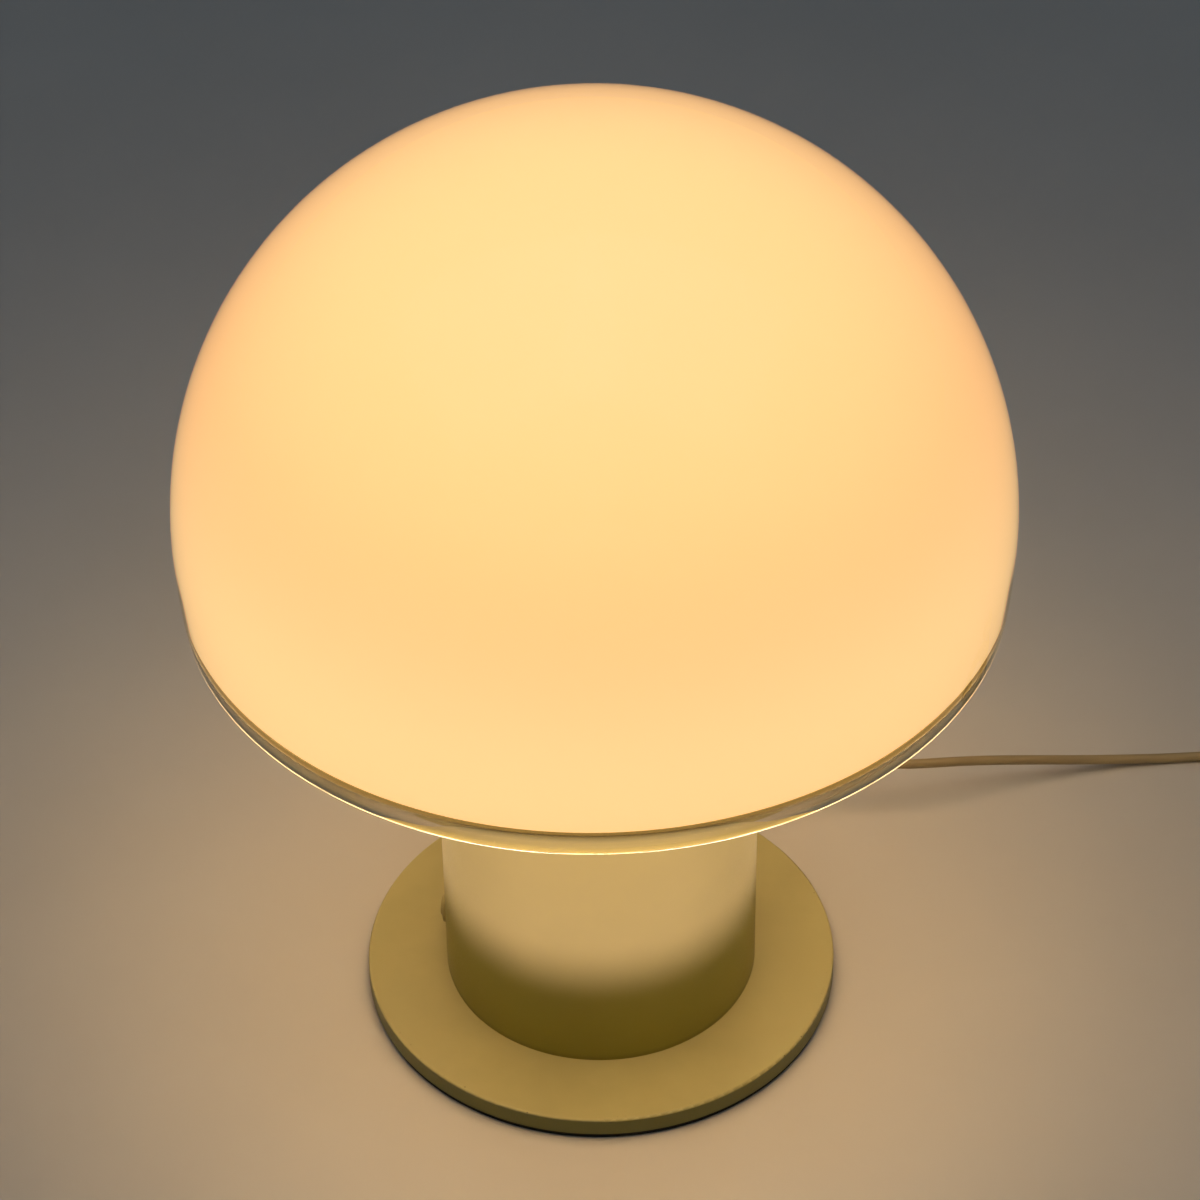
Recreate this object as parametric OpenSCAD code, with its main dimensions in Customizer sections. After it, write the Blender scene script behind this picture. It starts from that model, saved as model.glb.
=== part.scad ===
// Mushroom table lamp: a domed opal glass shade with a clear rim, on a round column and a disc base.
// The shade rests on three soft tips and lifts off, two bulbs stand in holders inside it,
// and a push button sits low on the column. The mains cord leaves the column low at the back.
// Millimetres, +Z up. The origin is on the floor under the middle of the base, and the viewer is at -Y.

/* [Base] */
// Diameter of the disc base
base_d = 230; // [190:1:300]
// Thickness of the disc base
base_t = 9.5; // [8:0.5:16]
// Radius of the eased top edge of the base
base_edge_r = 1.2; // [0.4:0.1:3]
// Thickness of the pad under the base
pad_t = 3; // [1:0.5:6]
// How far the pad is set in from the edge of the base
pad_inset = 1; // [1:0.5:12]

/* [Column] */
// Outside diameter of the column
column_d = 152; // [136:1:176]
// Wall thickness of the column
column_wall = 3; // [2:0.5:4]
// Height of the column above the base
column_h = 250; // [220:1:300]
// Height of the partition over the wiring chamber, from the foot of the column to its underside
chamber_h = 58; // [50:1:80]
// Thickness of the partition
partition_t = 4; // [2.5:0.5:6]
// Height of the ring that centres the column on the base
ring_h = 5; // [3:0.5:8]
// Radial width of the centring ring
ring_w = 8; // [7:0.5:12]

/* [Tie tube] */
// Outside diameter of the threaded tube that ties the lamp together
stem_d = 10; // [8:0.5:12]
// Bore of the threaded tube
stem_bore = 7; // [4:0.5:8]
// Width across the flats of its nuts
nut_af = 14; // [13:0.5:17]
// Height of its nuts
nut_h = 4; // [3:0.5:5]
// Thickness of its washers
washer_t = 1; // [0.6:0.1:1.4]

/* [Shade] */
// Outside diameter of the shade
shade_d = 380; // [360:1:420]
// Height of the nearly upright wall under the dome
shade_wall_h = 36; // [20:1:60]
// How far that wall draws in at the lip
shade_inturn = 2; // [0.5:0.5:6]
// Thickness of the clear outer layer
clear_t = 2; // [1:0.1:3]
// Thickness of the opal inner layer
opal_t = 2.5; // [1:0.1:4]
// Height of the clear rim below the opal layer
rim_h = 14; // [6:0.5:18]
// How far the lip hangs below the top of the column
lip_drop = 7; // [2:1:20]

/* [Shade carrier] */
// Diameter of the wire arms
wire_d = 5; // [4:0.5:6]
// Inside bend radius of the arms
wire_bend_r = 14; // [8:1:25]
// Diameter of the soft ball on each arm
tip_d = 14; // [11:0.5:18]
// Angle above the dome's centre at which the tips touch the glass
tip_angle = 45; // [38:1:52]
// Diameter of the hub that holds the arms
hub_d = 36; // [32:1:40]
// Height of the hub
hub_h = 12; // [11:0.5:16]
// Depth of the arms in the hub
arm_seat = 8; // [5:0.5:10]

/* [Lamp holders] */
// Outward lean of the holders from upright
holder_tilt = 10; // [4:1:14]
// Height of a holder
holder_h = 46; // [42:1:52]
// Outside diameter of a holder
holder_d = 38; // [36:0.5:42]
// Diameter of a holder's foot
holder_foot_d = 30; // [26:0.5:32]
// Distance along the wing of the bracket from its bend to a holder's middle
holder_reach = 10.5; // [9:0.5:16]
// Thickness of the holder's floor
holder_floor = 12; // [11:0.5:14]
// Thickness of the sheet-metal bracket
bracket_t = 2; // [1.5:0.5:3]
// Wall of the screw shell in a holder
shell_wall = 1.2; // [0.6:0.1:1.6]

/* [Bulbs] */
// Diameter of a bulb's globe
globe_d = 60; // [45:1:64]
// Length of a bulb with its cap
bulb_h = 108; // [100:1:112]
// Diameter of a bulb's screw cap
cap_d = 26.4; // [25:0.1:27]
// Length of a bulb's screw cap with its contact
cap_h = 27; // [25:0.5:29]
// Diameter of a bulb's neck
neck_d = 28; // [27.2:0.2:30]
// Thickness of a bulb's glass
bulb_wall = 1; // [0.6:0.1:1.5]

/* [Switch] */
// Direction of the switch round the column, counter-clockwise from +X
switch_turn = 170; // [150:1:200]
// Height of the switch above the base
switch_h = 18; // [14:0.5:30]
// Diameter of the switch's collar
collar_d = 17; // [15:0.5:22]
// How far the collar stands proud of the column
collar_proud = 1.8; // [1.4:0.1:3]
// Diameter of the button
button_d = 11; // [9:0.5:12]
// How far the button's crown stands proud of the collar
button_proud = 1.6; // [1:0.1:3]
// Travel of the button
button_travel = 1.5; // [0.6:0.1:2]
// Outside diameter of the switch's threaded barrel
barrel_d = 13.4; // [13.4:0.1:14]
// Length of the switch's body behind the barrel
switch_body_l = 20; // [14:1:26]

/* [Cord] */
// Diameter of the mains cord
cord_d = 5; // [4:0.1:5.2]
// Direction of the cord's bush round the column
cord_turn = 60; // [40:1:90]
// Height of the cord's bush above the base
cord_h = 25; // [16:0.5:34]
// Length of the bush's taper
relief_l = 26; // [20:1:40]
// Inside radius of the coil, to the middle of the cord
coil_inner_r = 21; // [20:0.5:26]
// Step from one turn of the coil to the next, sideways and up
coil_step = 5.6; // [5.6:0.1:7]
// Width of the tie round the coil
tie_w = 8; // [4:0.5:14]
// Width of the plug at its pins
plug_w = 35; // [30:1:38]
// Length of the plug's body
plug_l = 36; // [30:1:42]
// Thickness of the plug's body
plug_t = 17; // [13:0.5:17]

/* [Hidden] */
$fn = 64;

// Clearances
fit = 0.05;
slide_fit = 0.1;
seat_gap = 0.3;
layer_gap = 0.1;

// Heights of the stand
foot_z = pad_t + base_t;
column_r = column_d / 2;
column_ir = column_r - column_wall;
column_top = foot_z + column_h;
partition_z = foot_z + chamber_h;
edge_ease = 0.8;

// Fastenings of the stand
stem_r = stem_d / 2;
nut_corner_r = nut_af / 2 / cos(30);
washer_r = nut_corner_r + 2;
recess_r = washer_r + 1;
recess_floor = 0.4;
recess_h = recess_floor + nut_h + washer_t;
ring_r = column_ir - 4 * fit;
screw_r = 2;
screw_head_r = 3.6;
screw_head_h = 2.2;
screw_bite = 5;
screw_l = ring_h + screw_bite;
ring_screws_n = 3;
first_ring_screw = 30;

// Shade
shade_r = shade_d / 2;
glass_t = clear_t + layer_gap + opal_t;
lip_z = column_top - lip_drop;
dome_z = lip_z + shade_wall_h;
rim_top = lip_z + rim_h;
wall_arc_r = (shade_wall_h * shade_wall_h + shade_inturn * shade_inturn) / (2 * shade_inturn);
lip_angle = asin((shade_wall_h - glass_t / 2) / (wall_arc_r - glass_t / 2));
dome_inner_r = shade_r - glass_t;

// Carrier
arms_n = 3;
first_arm = 90;
wire_r = wire_d / 2;
wire_z = column_top + wire_r + slide_fit;
tip_r = tip_d / 2;
tip_reach = dome_inner_r - tip_r - seat_gap;
arm_x = round(100 * tip_reach * cos(tip_angle)) / 100;
tip_z = dome_z + tip_reach * sin(tip_angle);
arm_bend_r = wire_bend_r + wire_r;
tip_seat = 3.5;
hub_r = hub_d / 2;
hub_top = wire_z + hub_h / 2;

// Bracket and holders: the wings slope down from the flat over the hub
bracket_flat = hub_r + 1;
bracket_half_w = holder_foot_d / 2;
holder_x = bracket_flat + holder_reach * cos(holder_tilt);
holder_z = hub_top + bracket_t - holder_reach * sin(holder_tilt);
wing_l = holder_reach + bracket_half_w;
stem_end = 2;
stem_top = hub_top + bracket_t + washer_t + nut_h + stem_end;
stem_bottom = pad_t + recess_floor;
holder_r = holder_d / 2;
holder_shoulder = 6;
shell_ir = cap_d / 2 + 2 * seat_gap;
shell_or = shell_ir + shell_wall;
shell_set_down = 4;
nipple_r = 5;
nipple_bore_r = 3.25;
nipple_head_h = 3;
nipple_depth = 8;
contact_r = 3.5;
contact_foot_r = 7;
contact_foot_h = 1.2;

// Bulbs, along the holder's own axis
bulb_seat = holder_h - cap_h;
globe_r = globe_d / 2;
globe_s = bulb_h - globe_r;
neck_r = neck_d / 2;
neck_straight = 9;
neck_s = cap_h + neck_straight;
flare_rise = globe_s - neck_s;
flare_r = (flare_rise * flare_rise + neck_r * neck_r - globe_r * globe_r) / (2 * (globe_r - neck_r));

// Leads and terminal blocks
lead_r = 2;
lead_x = holder_x - (bracket_t + nipple_head_h) * sin(holder_tilt);
lead_entry = 2;
lead_top = holder_z - (bracket_t + nipple_head_h) * cos(holder_tilt) + lead_entry;
grommet_neck_r = 4.6;
grommet_flange_r = 6.6;
grommet_flange_t = 1.2;
block_size = [20, 24, 15];
block_seat = 4;
block_screw_y = 8;
block_screw_r = 1.5;
block_head_r = 2.8;
block_head_h = 1.8;
block_screw_bite = 4;

// Switch, along its own axis out from the middle of the column
switch_z = foot_z + switch_h;
collar_r = collar_d / 2;
button_r = button_d / 2;
barrel_r = barrel_d / 2;
switch_nut_r = barrel_r + 3;
switch_nut_t = 3;
switch_nut_x = sqrt(column_ir * column_ir - switch_nut_r * switch_nut_r) - switch_nut_t - slide_fit;
barrel_x = switch_nut_x - 4;
collar_x = column_r + collar_proud;
button_x = barrel_x + button_travel + 2;
switch_body_r = barrel_r + 1;
button_crown = 1.2;

// Cord bush
cord_r = cord_d / 2;
cord_z = foot_z + cord_h;
bush_hole_r = cord_r + 2.4;
bush_flange_r = bush_hole_r + 3;
bush_flange_t = 2;
bush_inner_t = 2;
bush_inner_x = sqrt(column_ir * column_ir - bush_flange_r * bush_flange_r) - bush_inner_t - slide_fit;
bush_x = column_r + bush_flange_t;
relief_end_x = bush_x + relief_l;
relief_root_r = cord_r + 3.4;
relief_tip_r = cord_r + 1.3;
relief_bore = 10;
relief_groove_w = 1.6;
relief_groove_r = cord_r + 0.8;
relief_grooves = 4;

// Cord route: out of the bush, over the base and down to the floor on the right
cord_sides = 10;
coil_z = 3.4;
coil_turns = 7;
coil_half_turns = coil_turns / 2;
coil_outer_r = coil_inner_r + coil_step * coil_half_turns;
coil_x = 364;
coil_y = 105;
coil_lead = cord_d;
coil_lead_in = 12;
plug_lead = 18;
cord_dir = [cos(cord_turn), sin(cord_turn)];
cord_route = concat(
    [for (x = [relief_end_x - relief_bore, relief_end_x]) [cord_dir.x * x, cord_dir.y * x, cord_z]],
    [
        [57.5, 98.6, 37.3],
        [63.5, 106, 36.7],
        [72.5, 111.5, 35.8],
        [84, 114, 34.7],
        [98, 114.6, 33.3],
        [113, 114.4, 31.6],
        [129, 114.2, 29.8],
        [145, 114.6, 28],
        [161, 116, 26.1],
        [176, 119.5, 23.6],
        [191, 123.6, 20.6],
        [206, 127.4, 17.4],
        [221, 130.8, 14.2],
        [236, 133.8, 11.2],
        [251, 136.6, 8.4],
        [266, 139.1, 6],
        [281, 141.2, 4.2],
        [296, 142.8, 3],
        [311, 143.9, 2.7],
        [326, 144.7, 2.7],
        [341, 145.3, 3],
    ],
    [for (x = [coil_x - coil_lead_in, coil_x - coil_lead]) [x, coil_y + coil_outer_r, coil_z]]
);
tie_t = 0.5;
tie_gap = 0.2;
tie_angle = -90;
plug_z = coil_z + coil_step;
plug_x = coil_x + plug_lead;
plug_relief_l = 12;
plug_relief_root_r = cord_r + 2;
plug_relief_tip_r = cord_r + 0.8;
plug_neck_w = 17;
plug_edge_r = 4;
plug_bevel = 1.5;
pin_r = 2;
pin_l = 19;
pin_spacing = 18.6;

// Colours
cream = [0.88, 0.82, 0.66];
opal = [1, 0.95, 0.85];
clear = [0.85, 0.9, 0.88, 0.4];
black = [0.05, 0.05, 0.05];
steel = [0.62, 0.63, 0.65];
brass = [0.75, 0.6, 0.3];
phenolic = [0.16, 0.12, 0.1];
frosted = [1, 0.98, 0.92];
ivory = [0.86, 0.81, 0.68];

// Helpers

// Cross-section of a disc from the axis out, with its top outer edge rounded
module eased_section(r, h, ease) {
    square([r - ease, h]);
    square([r, h - ease]);
    translate([r - ease, h - ease])
        circle(ease);
}

// Children's +Z points straight out from the lamp's axis, at a height
module radial(turn, z) {
    rotate([0, 0, turn])
        translate([0, 0, z])
            rotate([0, 90, 0])
                children();
}

// Children stand on the bracket's wing on one side, leaning with the holder
module at_holder(side) {
    translate([side * holder_x, 0, holder_z])
        rotate([0, side * holder_tilt, 0])
            children();
}

module tube(r_out, r_in, h) {
    difference() {
        cylinder(r = r_out, h = h);
        translate([0, 0, -1])
            cylinder(r = r_in, h = h + 2);
    }
}

module hex_nut(r_bore, h) {
    difference() {
        cylinder(r = nut_corner_r, h = h, $fn = 6);
        translate([0, 0, -1])
            cylinder(r = r_bore, h = h + 2);
    }
}

// Places of the ring screws, on the middle of the centring ring
module at_ring_screws() {
    for (i = [0 : ring_screws_n - 1])
        rotate([0, 0, first_ring_screw + i * 360 / ring_screws_n])
            translate([ring_r - ring_w / 2, 0, 0])
                children();
}

// Base

module base_pad() {
    color(black)
        cylinder(r = base_d / 2 - pad_inset, h = pad_t);
}

module base_disc() {
    color(cream)
        difference() {
            translate([0, 0, pad_t])
                rotate_extrude()
                    eased_section(base_d / 2, base_t, base_edge_r);
            cylinder(r = stem_r + fit, h = foot_z + 1);
            cylinder(r = recess_r, h = pad_t + recess_h);
            translate([0, 0, foot_z - screw_bite - fit])
                at_ring_screws()
                    cylinder(r = screw_r + fit, h = base_t);
            translate([0, 0, foot_z - block_screw_bite - fit])
                at_block_screws()
                    cylinder(r = block_screw_r + fit, h = base_t);
        }
}

module locating_ring() {
    color(steel)
        difference() {
            translate([0, 0, foot_z])
                tube(ring_r, ring_r - ring_w, ring_h);
            at_ring_screws()
                cylinder(r = screw_r + fit, h = foot_z + ring_h + 1);
        }
}

module ring_screws() {
    color(steel)
        translate([0, 0, foot_z + ring_h])
            at_ring_screws() {
                translate([0, 0, -screw_l])
                    cylinder(r = screw_r, h = screw_l);
                rotate_extrude()
                    eased_section(screw_head_r, screw_head_h, edge_ease);
            }
}

// Column: one moulding, with a partition that closes the wiring chamber at its foot

module column() {
    color(cream)
        difference() {
            translate([0, 0, foot_z])
                rotate_extrude() {
                    translate([column_ir, 0])
                        eased_section(column_wall, column_h, edge_ease);
                    translate([0, chamber_h])
                        square([column_ir + column_wall / 2, partition_t]);
                }
            cylinder(r = stem_r + 4 * fit, h = column_top);
            radial(switch_turn, switch_z)
                translate([0, 0, barrel_x])
                    cylinder(r = barrel_r + slide_fit, h = column_r);
            radial(cord_turn, cord_z)
                translate([0, 0, bush_inner_x])
                    cylinder(r = bush_hole_r + slide_fit, h = column_r);
            for (side = [-1, 1])
                translate([side * lead_x, 0, partition_z - 1])
                    cylinder(r = grommet_neck_r + slide_fit, h = partition_t + 2);
        }
}

// Tie tube with its nuts

module stem() {
    color(steel)
        translate([0, 0, stem_bottom])
            tube(stem_r, stem_bore / 2, stem_top - stem_bottom);
}

module stem_nuts() {
    color(steel) {
        translate([0, 0, pad_t + recess_floor])
            hex_nut(stem_r + fit, nut_h);
        translate([0, 0, hub_top + bracket_t + washer_t])
            hex_nut(stem_r + fit, nut_h);
    }
}

module stem_washers() {
    color(steel)
        for (z = [pad_t + recess_floor + nut_h, hub_top + bracket_t])
            translate([0, 0, z])
                tube(washer_r, stem_r + fit, washer_t);
}

// Shade carrier

module at_arms() {
    for (i = [0 : arms_n - 1])
        rotate([0, 0, first_arm + i * 360 / arms_n])
            children();
}

module carrier_hub() {
    color(steel)
        difference() {
            translate([0, 0, wire_z - hub_h / 2])
                rotate_extrude()
                    eased_section(hub_r, hub_h, edge_ease);
            cylinder(r = stem_r + fit, h = hub_top + 1);
            translate([0, 0, wire_z])
                at_arms()
                    rotate([0, 90, 0])
                        translate([0, 0, hub_r - arm_seat])
                            cylinder(r = wire_r + fit, h = hub_r);
        }
}

// An arm lies on the column's top edge and turns up to its soft tip
module carrier_arm() {
    run_end = arm_x - arm_bend_r;
    union() {
        translate([hub_r - arm_seat, 0, wire_z])
            rotate([0, 90, 0])
                cylinder(r = wire_r, h = run_end - hub_r + arm_seat);
        translate([run_end, 0, wire_z + arm_bend_r])
            rotate([90, 0, 0])
                rotate([0, 0, -90])
                    rotate_extrude(angle = 90)
                        translate([arm_bend_r, 0])
                            circle(wire_r);
        translate([arm_x, 0, wire_z + arm_bend_r])
            cylinder(r = wire_r, h = tip_z + tip_seat - wire_z - arm_bend_r);
    }
}

module carrier_arms() {
    color(steel)
        at_arms()
            carrier_arm();
}

module carrier_tips() {
    color(black)
        at_arms()
            translate([arm_x, 0, tip_z])
                difference() {
                    sphere(tip_r);
                    translate([0, 0, -tip_d])
                        cylinder(r = wire_r + fit, h = tip_d + tip_seat);
                }
}

// Holders

// Edge of one strip, flat over the hub and bent down on both sides
module bracket_edge() {
    bend = bracket_t * tan(holder_tilt / 2);
    wing_dir = [cos(holder_tilt), -sin(holder_tilt)];
    wing_down = [-sin(holder_tilt), -cos(holder_tilt)];
    wing_end = [bracket_flat, bracket_t] + wing_l * wing_dir;
    right = [
        [bracket_flat - bend, 0],
        wing_end + bracket_t * wing_down,
        wing_end,
        [bracket_flat, bracket_t],
    ];
    left = [for (i = [len(right) - 1 : -1 : 0]) [-right[i].x, right[i].y]];
    polygon(concat(right, left));
}

module socket_bracket() {
    color(steel)
        difference() {
            intersection() {
                translate([0, bracket_half_w, hub_top])
                    rotate([90, 0, 0])
                        linear_extrude(2 * bracket_half_w)
                            bracket_edge();
                translate([0, 0, hub_top - wing_l])
                    linear_extrude(2 * wing_l) {
                        square([2 * holder_x, 2 * bracket_half_w], center = true);
                        for (side = [-1, 1])
                            translate([side * holder_x, 0])
                                circle(bracket_half_w);
                    }
            }
            translate([0, 0, hub_top - 1])
                cylinder(r = stem_r + fit, h = bracket_t + 2);
            for (side = [-1, 1])
                at_holder(side)
                    translate([0, 0, -bracket_t - 1])
                        cylinder(r = nipple_r + fit, h = bracket_t + 2);
        }
}

// Hollow bolts that hold the lamp holders and let the leads in
module holder_nipples() {
    color(steel)
        for (side = [-1, 1])
            at_holder(side)
                difference() {
                    union() {
                        translate([0, 0, -bracket_t - nipple_head_h])
                            cylinder(r = nut_corner_r, h = nipple_head_h, $fn = 6);
                        translate([0, 0, -bracket_t])
                            cylinder(r = nipple_r, h = bracket_t + nipple_depth);
                    }
                    translate([0, 0, -bracket_t - nipple_head_h - 1])
                        cylinder(r = nipple_bore_r, h = bracket_t + nipple_head_h + nipple_depth + 2);
                }
}

module holder_section() {
    difference() {
        union() {
            square([holder_foot_d / 2, holder_h / 2]);
            polygon([
                [0, holder_shoulder],
                [holder_foot_d / 2, holder_shoulder],
                [holder_r, holder_floor],
                [holder_r, holder_h / 2],
                [0, holder_h / 2],
            ]);
            translate([0, holder_floor])
                eased_section(holder_r, holder_h - holder_floor, edge_ease);
        }
        translate([0, holder_floor])
            square([shell_or + fit, holder_h]);
        square([nipple_r + fit, nipple_depth + fit]);
    }
}

module lampholder(side) {
    color(phenolic)
        at_holder(side)
            rotate_extrude()
                holder_section();
}

module lampholder_left() {
    lampholder(-1);
}

module lampholder_right() {
    lampholder(1);
}

module screw_shell(side) {
    color(brass)
        at_holder(side)
            translate([0, 0, holder_floor])
                tube(shell_or, shell_ir, holder_h - holder_floor - shell_set_down);
}

module screw_shell_left() {
    screw_shell(-1);
}

module screw_shell_right() {
    screw_shell(1);
}

module contact(side) {
    color(brass)
        at_holder(side)
            translate([0, 0, holder_floor]) {
                cylinder(r = contact_foot_r, h = contact_foot_h);
                cylinder(r = contact_r, h = bulb_seat - holder_floor - seat_gap);
            }
}

module contact_left() {
    contact(-1);
}

module contact_right() {
    contact(1);
}

// Bulbs: a globe that flares out of a straight neck, on a screw cap

module bulb_outline(inset) {
    intersection() {
        union() {
            translate([0, globe_s])
                circle(globe_r - inset);
            translate([0, cap_h])
                square([neck_r - inset, neck_s - cap_h]);
            difference() {
                polygon([[0, neck_s], [neck_r + flare_r, neck_s], [0, globe_s]]);
                translate([neck_r + flare_r, neck_s])
                    circle(flare_r + inset);
            }
        }
        translate([0, cap_h])
            square([globe_d, bulb_h]);
    }
}

module bulb_glass(side) {
    color(frosted)
        at_holder(side)
            translate([0, 0, bulb_seat])
                rotate_extrude()
                    difference() {
                        bulb_outline(0);
                        bulb_outline(bulb_wall);
                    }
}

module bulb_glass_left() {
    bulb_glass(-1);
}

module bulb_glass_right() {
    bulb_glass(1);
}

module bulb_cap(side) {
    cap_r = cap_d / 2;
    tip_contact_r = 4.5;
    tip_contact_h = 1.6;
    insulator_top = 6;
    collar_h = 3;
    color(steel)
        at_holder(side)
            translate([0, 0, bulb_seat])
                rotate_extrude()
                    polygon([
                        [0, 0],
                        [tip_contact_r, 0],
                        [tip_contact_r, tip_contact_h],
                        [cap_r - 2, insulator_top],
                        [cap_r, insulator_top + 1],
                        [cap_r, cap_h - collar_h],
                        [neck_r, cap_h - collar_h + 1],
                        [neck_r, cap_h],
                        [0, cap_h],
                    ]);
}

module bulb_cap_left() {
    bulb_cap(-1);
}

module bulb_cap_right() {
    bulb_cap(1);
}

// Wiring: a lead from each terminal block straight up into its holder

module leads() {
    z = foot_z + block_size.z - block_seat + fit;
    color(ivory)
        for (side = [-1, 1])
            translate([side * lead_x, 0, z])
                cylinder(r = lead_r, h = lead_top - z);
}

module lead_grommets() {
    color(black)
        for (side = [-1, 1])
            translate([side * lead_x, 0, partition_z])
                difference() {
                    union() {
                        translate([0, 0, -grommet_flange_t])
                            cylinder(r = grommet_flange_r, h = grommet_flange_t);
                        cylinder(r = grommet_neck_r, h = partition_t);
                        translate([0, 0, partition_t])
                            cylinder(r = grommet_flange_r, h = grommet_flange_t);
                    }
                    translate([0, 0, -grommet_flange_t - 1])
                        cylinder(r = lead_r + slide_fit, h = partition_t + 2 * grommet_flange_t + 2);
                }
}

// Places of the screws that hold the terminal blocks to the base
module at_block_screws() {
    for (side = [-1, 1])
        translate([side * lead_x, block_screw_y, 0])
            children();
}

module terminal_blocks() {
    color(ivory)
        for (side = [-1, 1])
            translate([side * lead_x, 0, foot_z])
                difference() {
                    translate([-block_size.x / 2, -block_size.y / 2, 0])
                        cube(block_size);
                    translate([0, 0, block_size.z - block_seat])
                        cylinder(r = lead_r + slide_fit, h = block_seat + 1);
                    translate([0, block_screw_y, -1])
                        cylinder(r = block_screw_r + fit, h = block_size.z + 2);
                    translate([0, -block_screw_y, block_size.z / 2])
                        rotate([0, 90, 0])
                            cylinder(r = lead_r, h = block_size.x + 2, center = true);
                }
}

module block_screws() {
    color(steel)
        at_block_screws() {
            translate([0, 0, foot_z - block_screw_bite])
                cylinder(r = block_screw_r, h = block_size.z + block_screw_bite);
            translate([0, 0, foot_z + block_size.z])
                cylinder(r = block_head_r, h = block_head_h);
        }
}

// Switch: a collar with a threaded barrel, held by a nut inside the wall

module switch_collar() {
    color(cream)
        radial(switch_turn, switch_z)
            difference() {
                union() {
                    translate([0, 0, barrel_x])
                        cylinder(r = barrel_r, h = collar_x - barrel_x - edge_ease);
                    difference() {
                        translate([0, 0, column_ir])
                            rotate_extrude()
                                eased_section(collar_r, collar_x - column_ir, edge_ease);
                        rotate([0, -90, 0])
                            translate([0, 0, -collar_d])
                                cylinder(r = column_r + fit, h = 2 * collar_d);
                    }
                }
                translate([0, 0, barrel_x - 1])
                    cylinder(r = button_r + slide_fit, h = column_r);
            }
}

module switch_nut() {
    color(steel)
        radial(switch_turn, switch_z)
            translate([0, 0, switch_nut_x])
                tube(switch_nut_r, barrel_r + fit, switch_nut_t);
}

module switch_body() {
    color(phenolic)
        radial(switch_turn, switch_z)
            translate([0, 0, barrel_x - switch_body_l])
                cylinder(r = switch_body_r, h = switch_body_l);
}

module switch_button() {
    color(cream)
        radial(switch_turn, switch_z)
            translate([0, 0, button_x])
                rotate_extrude()
                    eased_section(button_r, collar_x + button_proud - button_x, button_crown);
}

// Cord

module cord_bush() {
    groove_pitch = relief_l / (relief_grooves + 2);
    color(ivory)
        radial(cord_turn, cord_z)
            difference() {
                union() {
                    translate([0, 0, bush_inner_x])
                        cylinder(r = bush_flange_r, h = bush_inner_t);
                    translate([0, 0, bush_inner_x])
                        cylinder(r = bush_hole_r, h = bush_x - bush_inner_x);
                    difference() {
                        translate([0, 0, column_ir])
                            cylinder(r = bush_flange_r, h = bush_x - column_ir);
                        rotate([0, -90, 0])
                            translate([0, 0, -2 * bush_flange_r])
                                cylinder(r = column_r + fit, h = 4 * bush_flange_r);
                    }
                    translate([0, 0, bush_x])
                        cylinder(r1 = relief_root_r, r2 = relief_tip_r, h = relief_l);
                }
                for (i = [1 : relief_grooves])
                    translate([0, 0, bush_x + i * groove_pitch])
                        tube(bush_flange_r, relief_groove_r, relief_groove_w);
                translate([0, 0, relief_end_x - relief_bore])
                    cylinder(r = cord_r + fit, h = relief_bore + 1);
            }
}

// Tangent of a route at one of its points
function along(p, i) =
    let (a = p[max(i - 1, 0)], b = p[min(i + 1, len(p) - 1)])
    (b - a) / norm(b - a);

// Ring of points round a route's point, square to its tangent, with one side always to the same hand
function ring(p, i, r, sides) =
    let (
        t = along(p, i),
        across = cross(t, [0, 0, 1]) / norm(cross(t, [0, 0, 1])),
        up = cross(across, t)
    )
    [for (k = [0 : sides - 1])
        let (a = (k + 0.5) * 360 / sides)
        p[i] + r * (cos(a) * across + sin(a) * up)];

// One closed tube of triangles along a route
module swept_tube(p, r, sides) {
    n = len(p);
    points = [for (i = [0 : n - 1]) each ring(p, i, r, sides)];
    walls = [
        for (i = [0 : n - 2])
            for (k = [0 : sides - 1])
                let (
                    a = i * sides + k,
                    b = i * sides + (k + 1) % sides
                )
                each [[a, b, b + sides], [a, b + sides, a + sides]]
    ];
    first_end = [for (k = [1 : sides - 2]) [0, k + 1, k]];
    last = (n - 1) * sides;
    last_end = [for (k = [1 : sides - 2]) [last, last + k, last + k + 1]];
    polyhedron(points, concat(walls, first_end, last_end));
}

module power_cord() {
    color(ivory)
        swept_tube(cord_route, cord_r, cord_sides);
}

// The coil spirals in on the floor, climbs a layer in the half turn where it reverses,
// and spirals out again on top, from the same side as it came in.
coil_rings = 24;
coil_sides = 6;
function coil_turn_at(u) = 90 - 360 * u;
function coil_radius(u) = coil_inner_r + coil_step * abs(u - coil_half_turns);
function climb(u) =
    let (t = min(1, max(0, 2 * (u - coil_half_turns) + 0.5)))
    t * t * (3 - 2 * t);
function coil_point(u) = [
    coil_x + coil_radius(u) * cos(coil_turn_at(u)),
    coil_y + coil_radius(u) * sin(coil_turn_at(u)),
    coil_z + coil_step * climb(u),
];
coil_loops = [for (i = [0 : coil_turns * coil_rings]) coil_point(i / coil_rings)];
coil_route = concat(
    [[coil_x - coil_lead, coil_y + coil_outer_r, coil_z]],
    coil_loops,
    [[plug_x, coil_y + coil_outer_r, plug_z]]
);

// Least gap between turns that are at least half a turn apart along the cord
function coil_gap() =
    min([
        for (i = [0 : len(coil_loops) - 1])
            for (j = [i + coil_rings / 2 : 1 : len(coil_loops) - 1])
                norm(coil_loops[i] - coil_loops[j])
    ]) - cord_d;

function route_length(p, i = 1) = i == len(p) ? 0 : norm(p[i] - p[i - 1]) + route_length(p, i + 1);

module cord_coil() {
    color(ivory)
        swept_tube(coil_route, cord_r, coil_sides);
}

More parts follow.
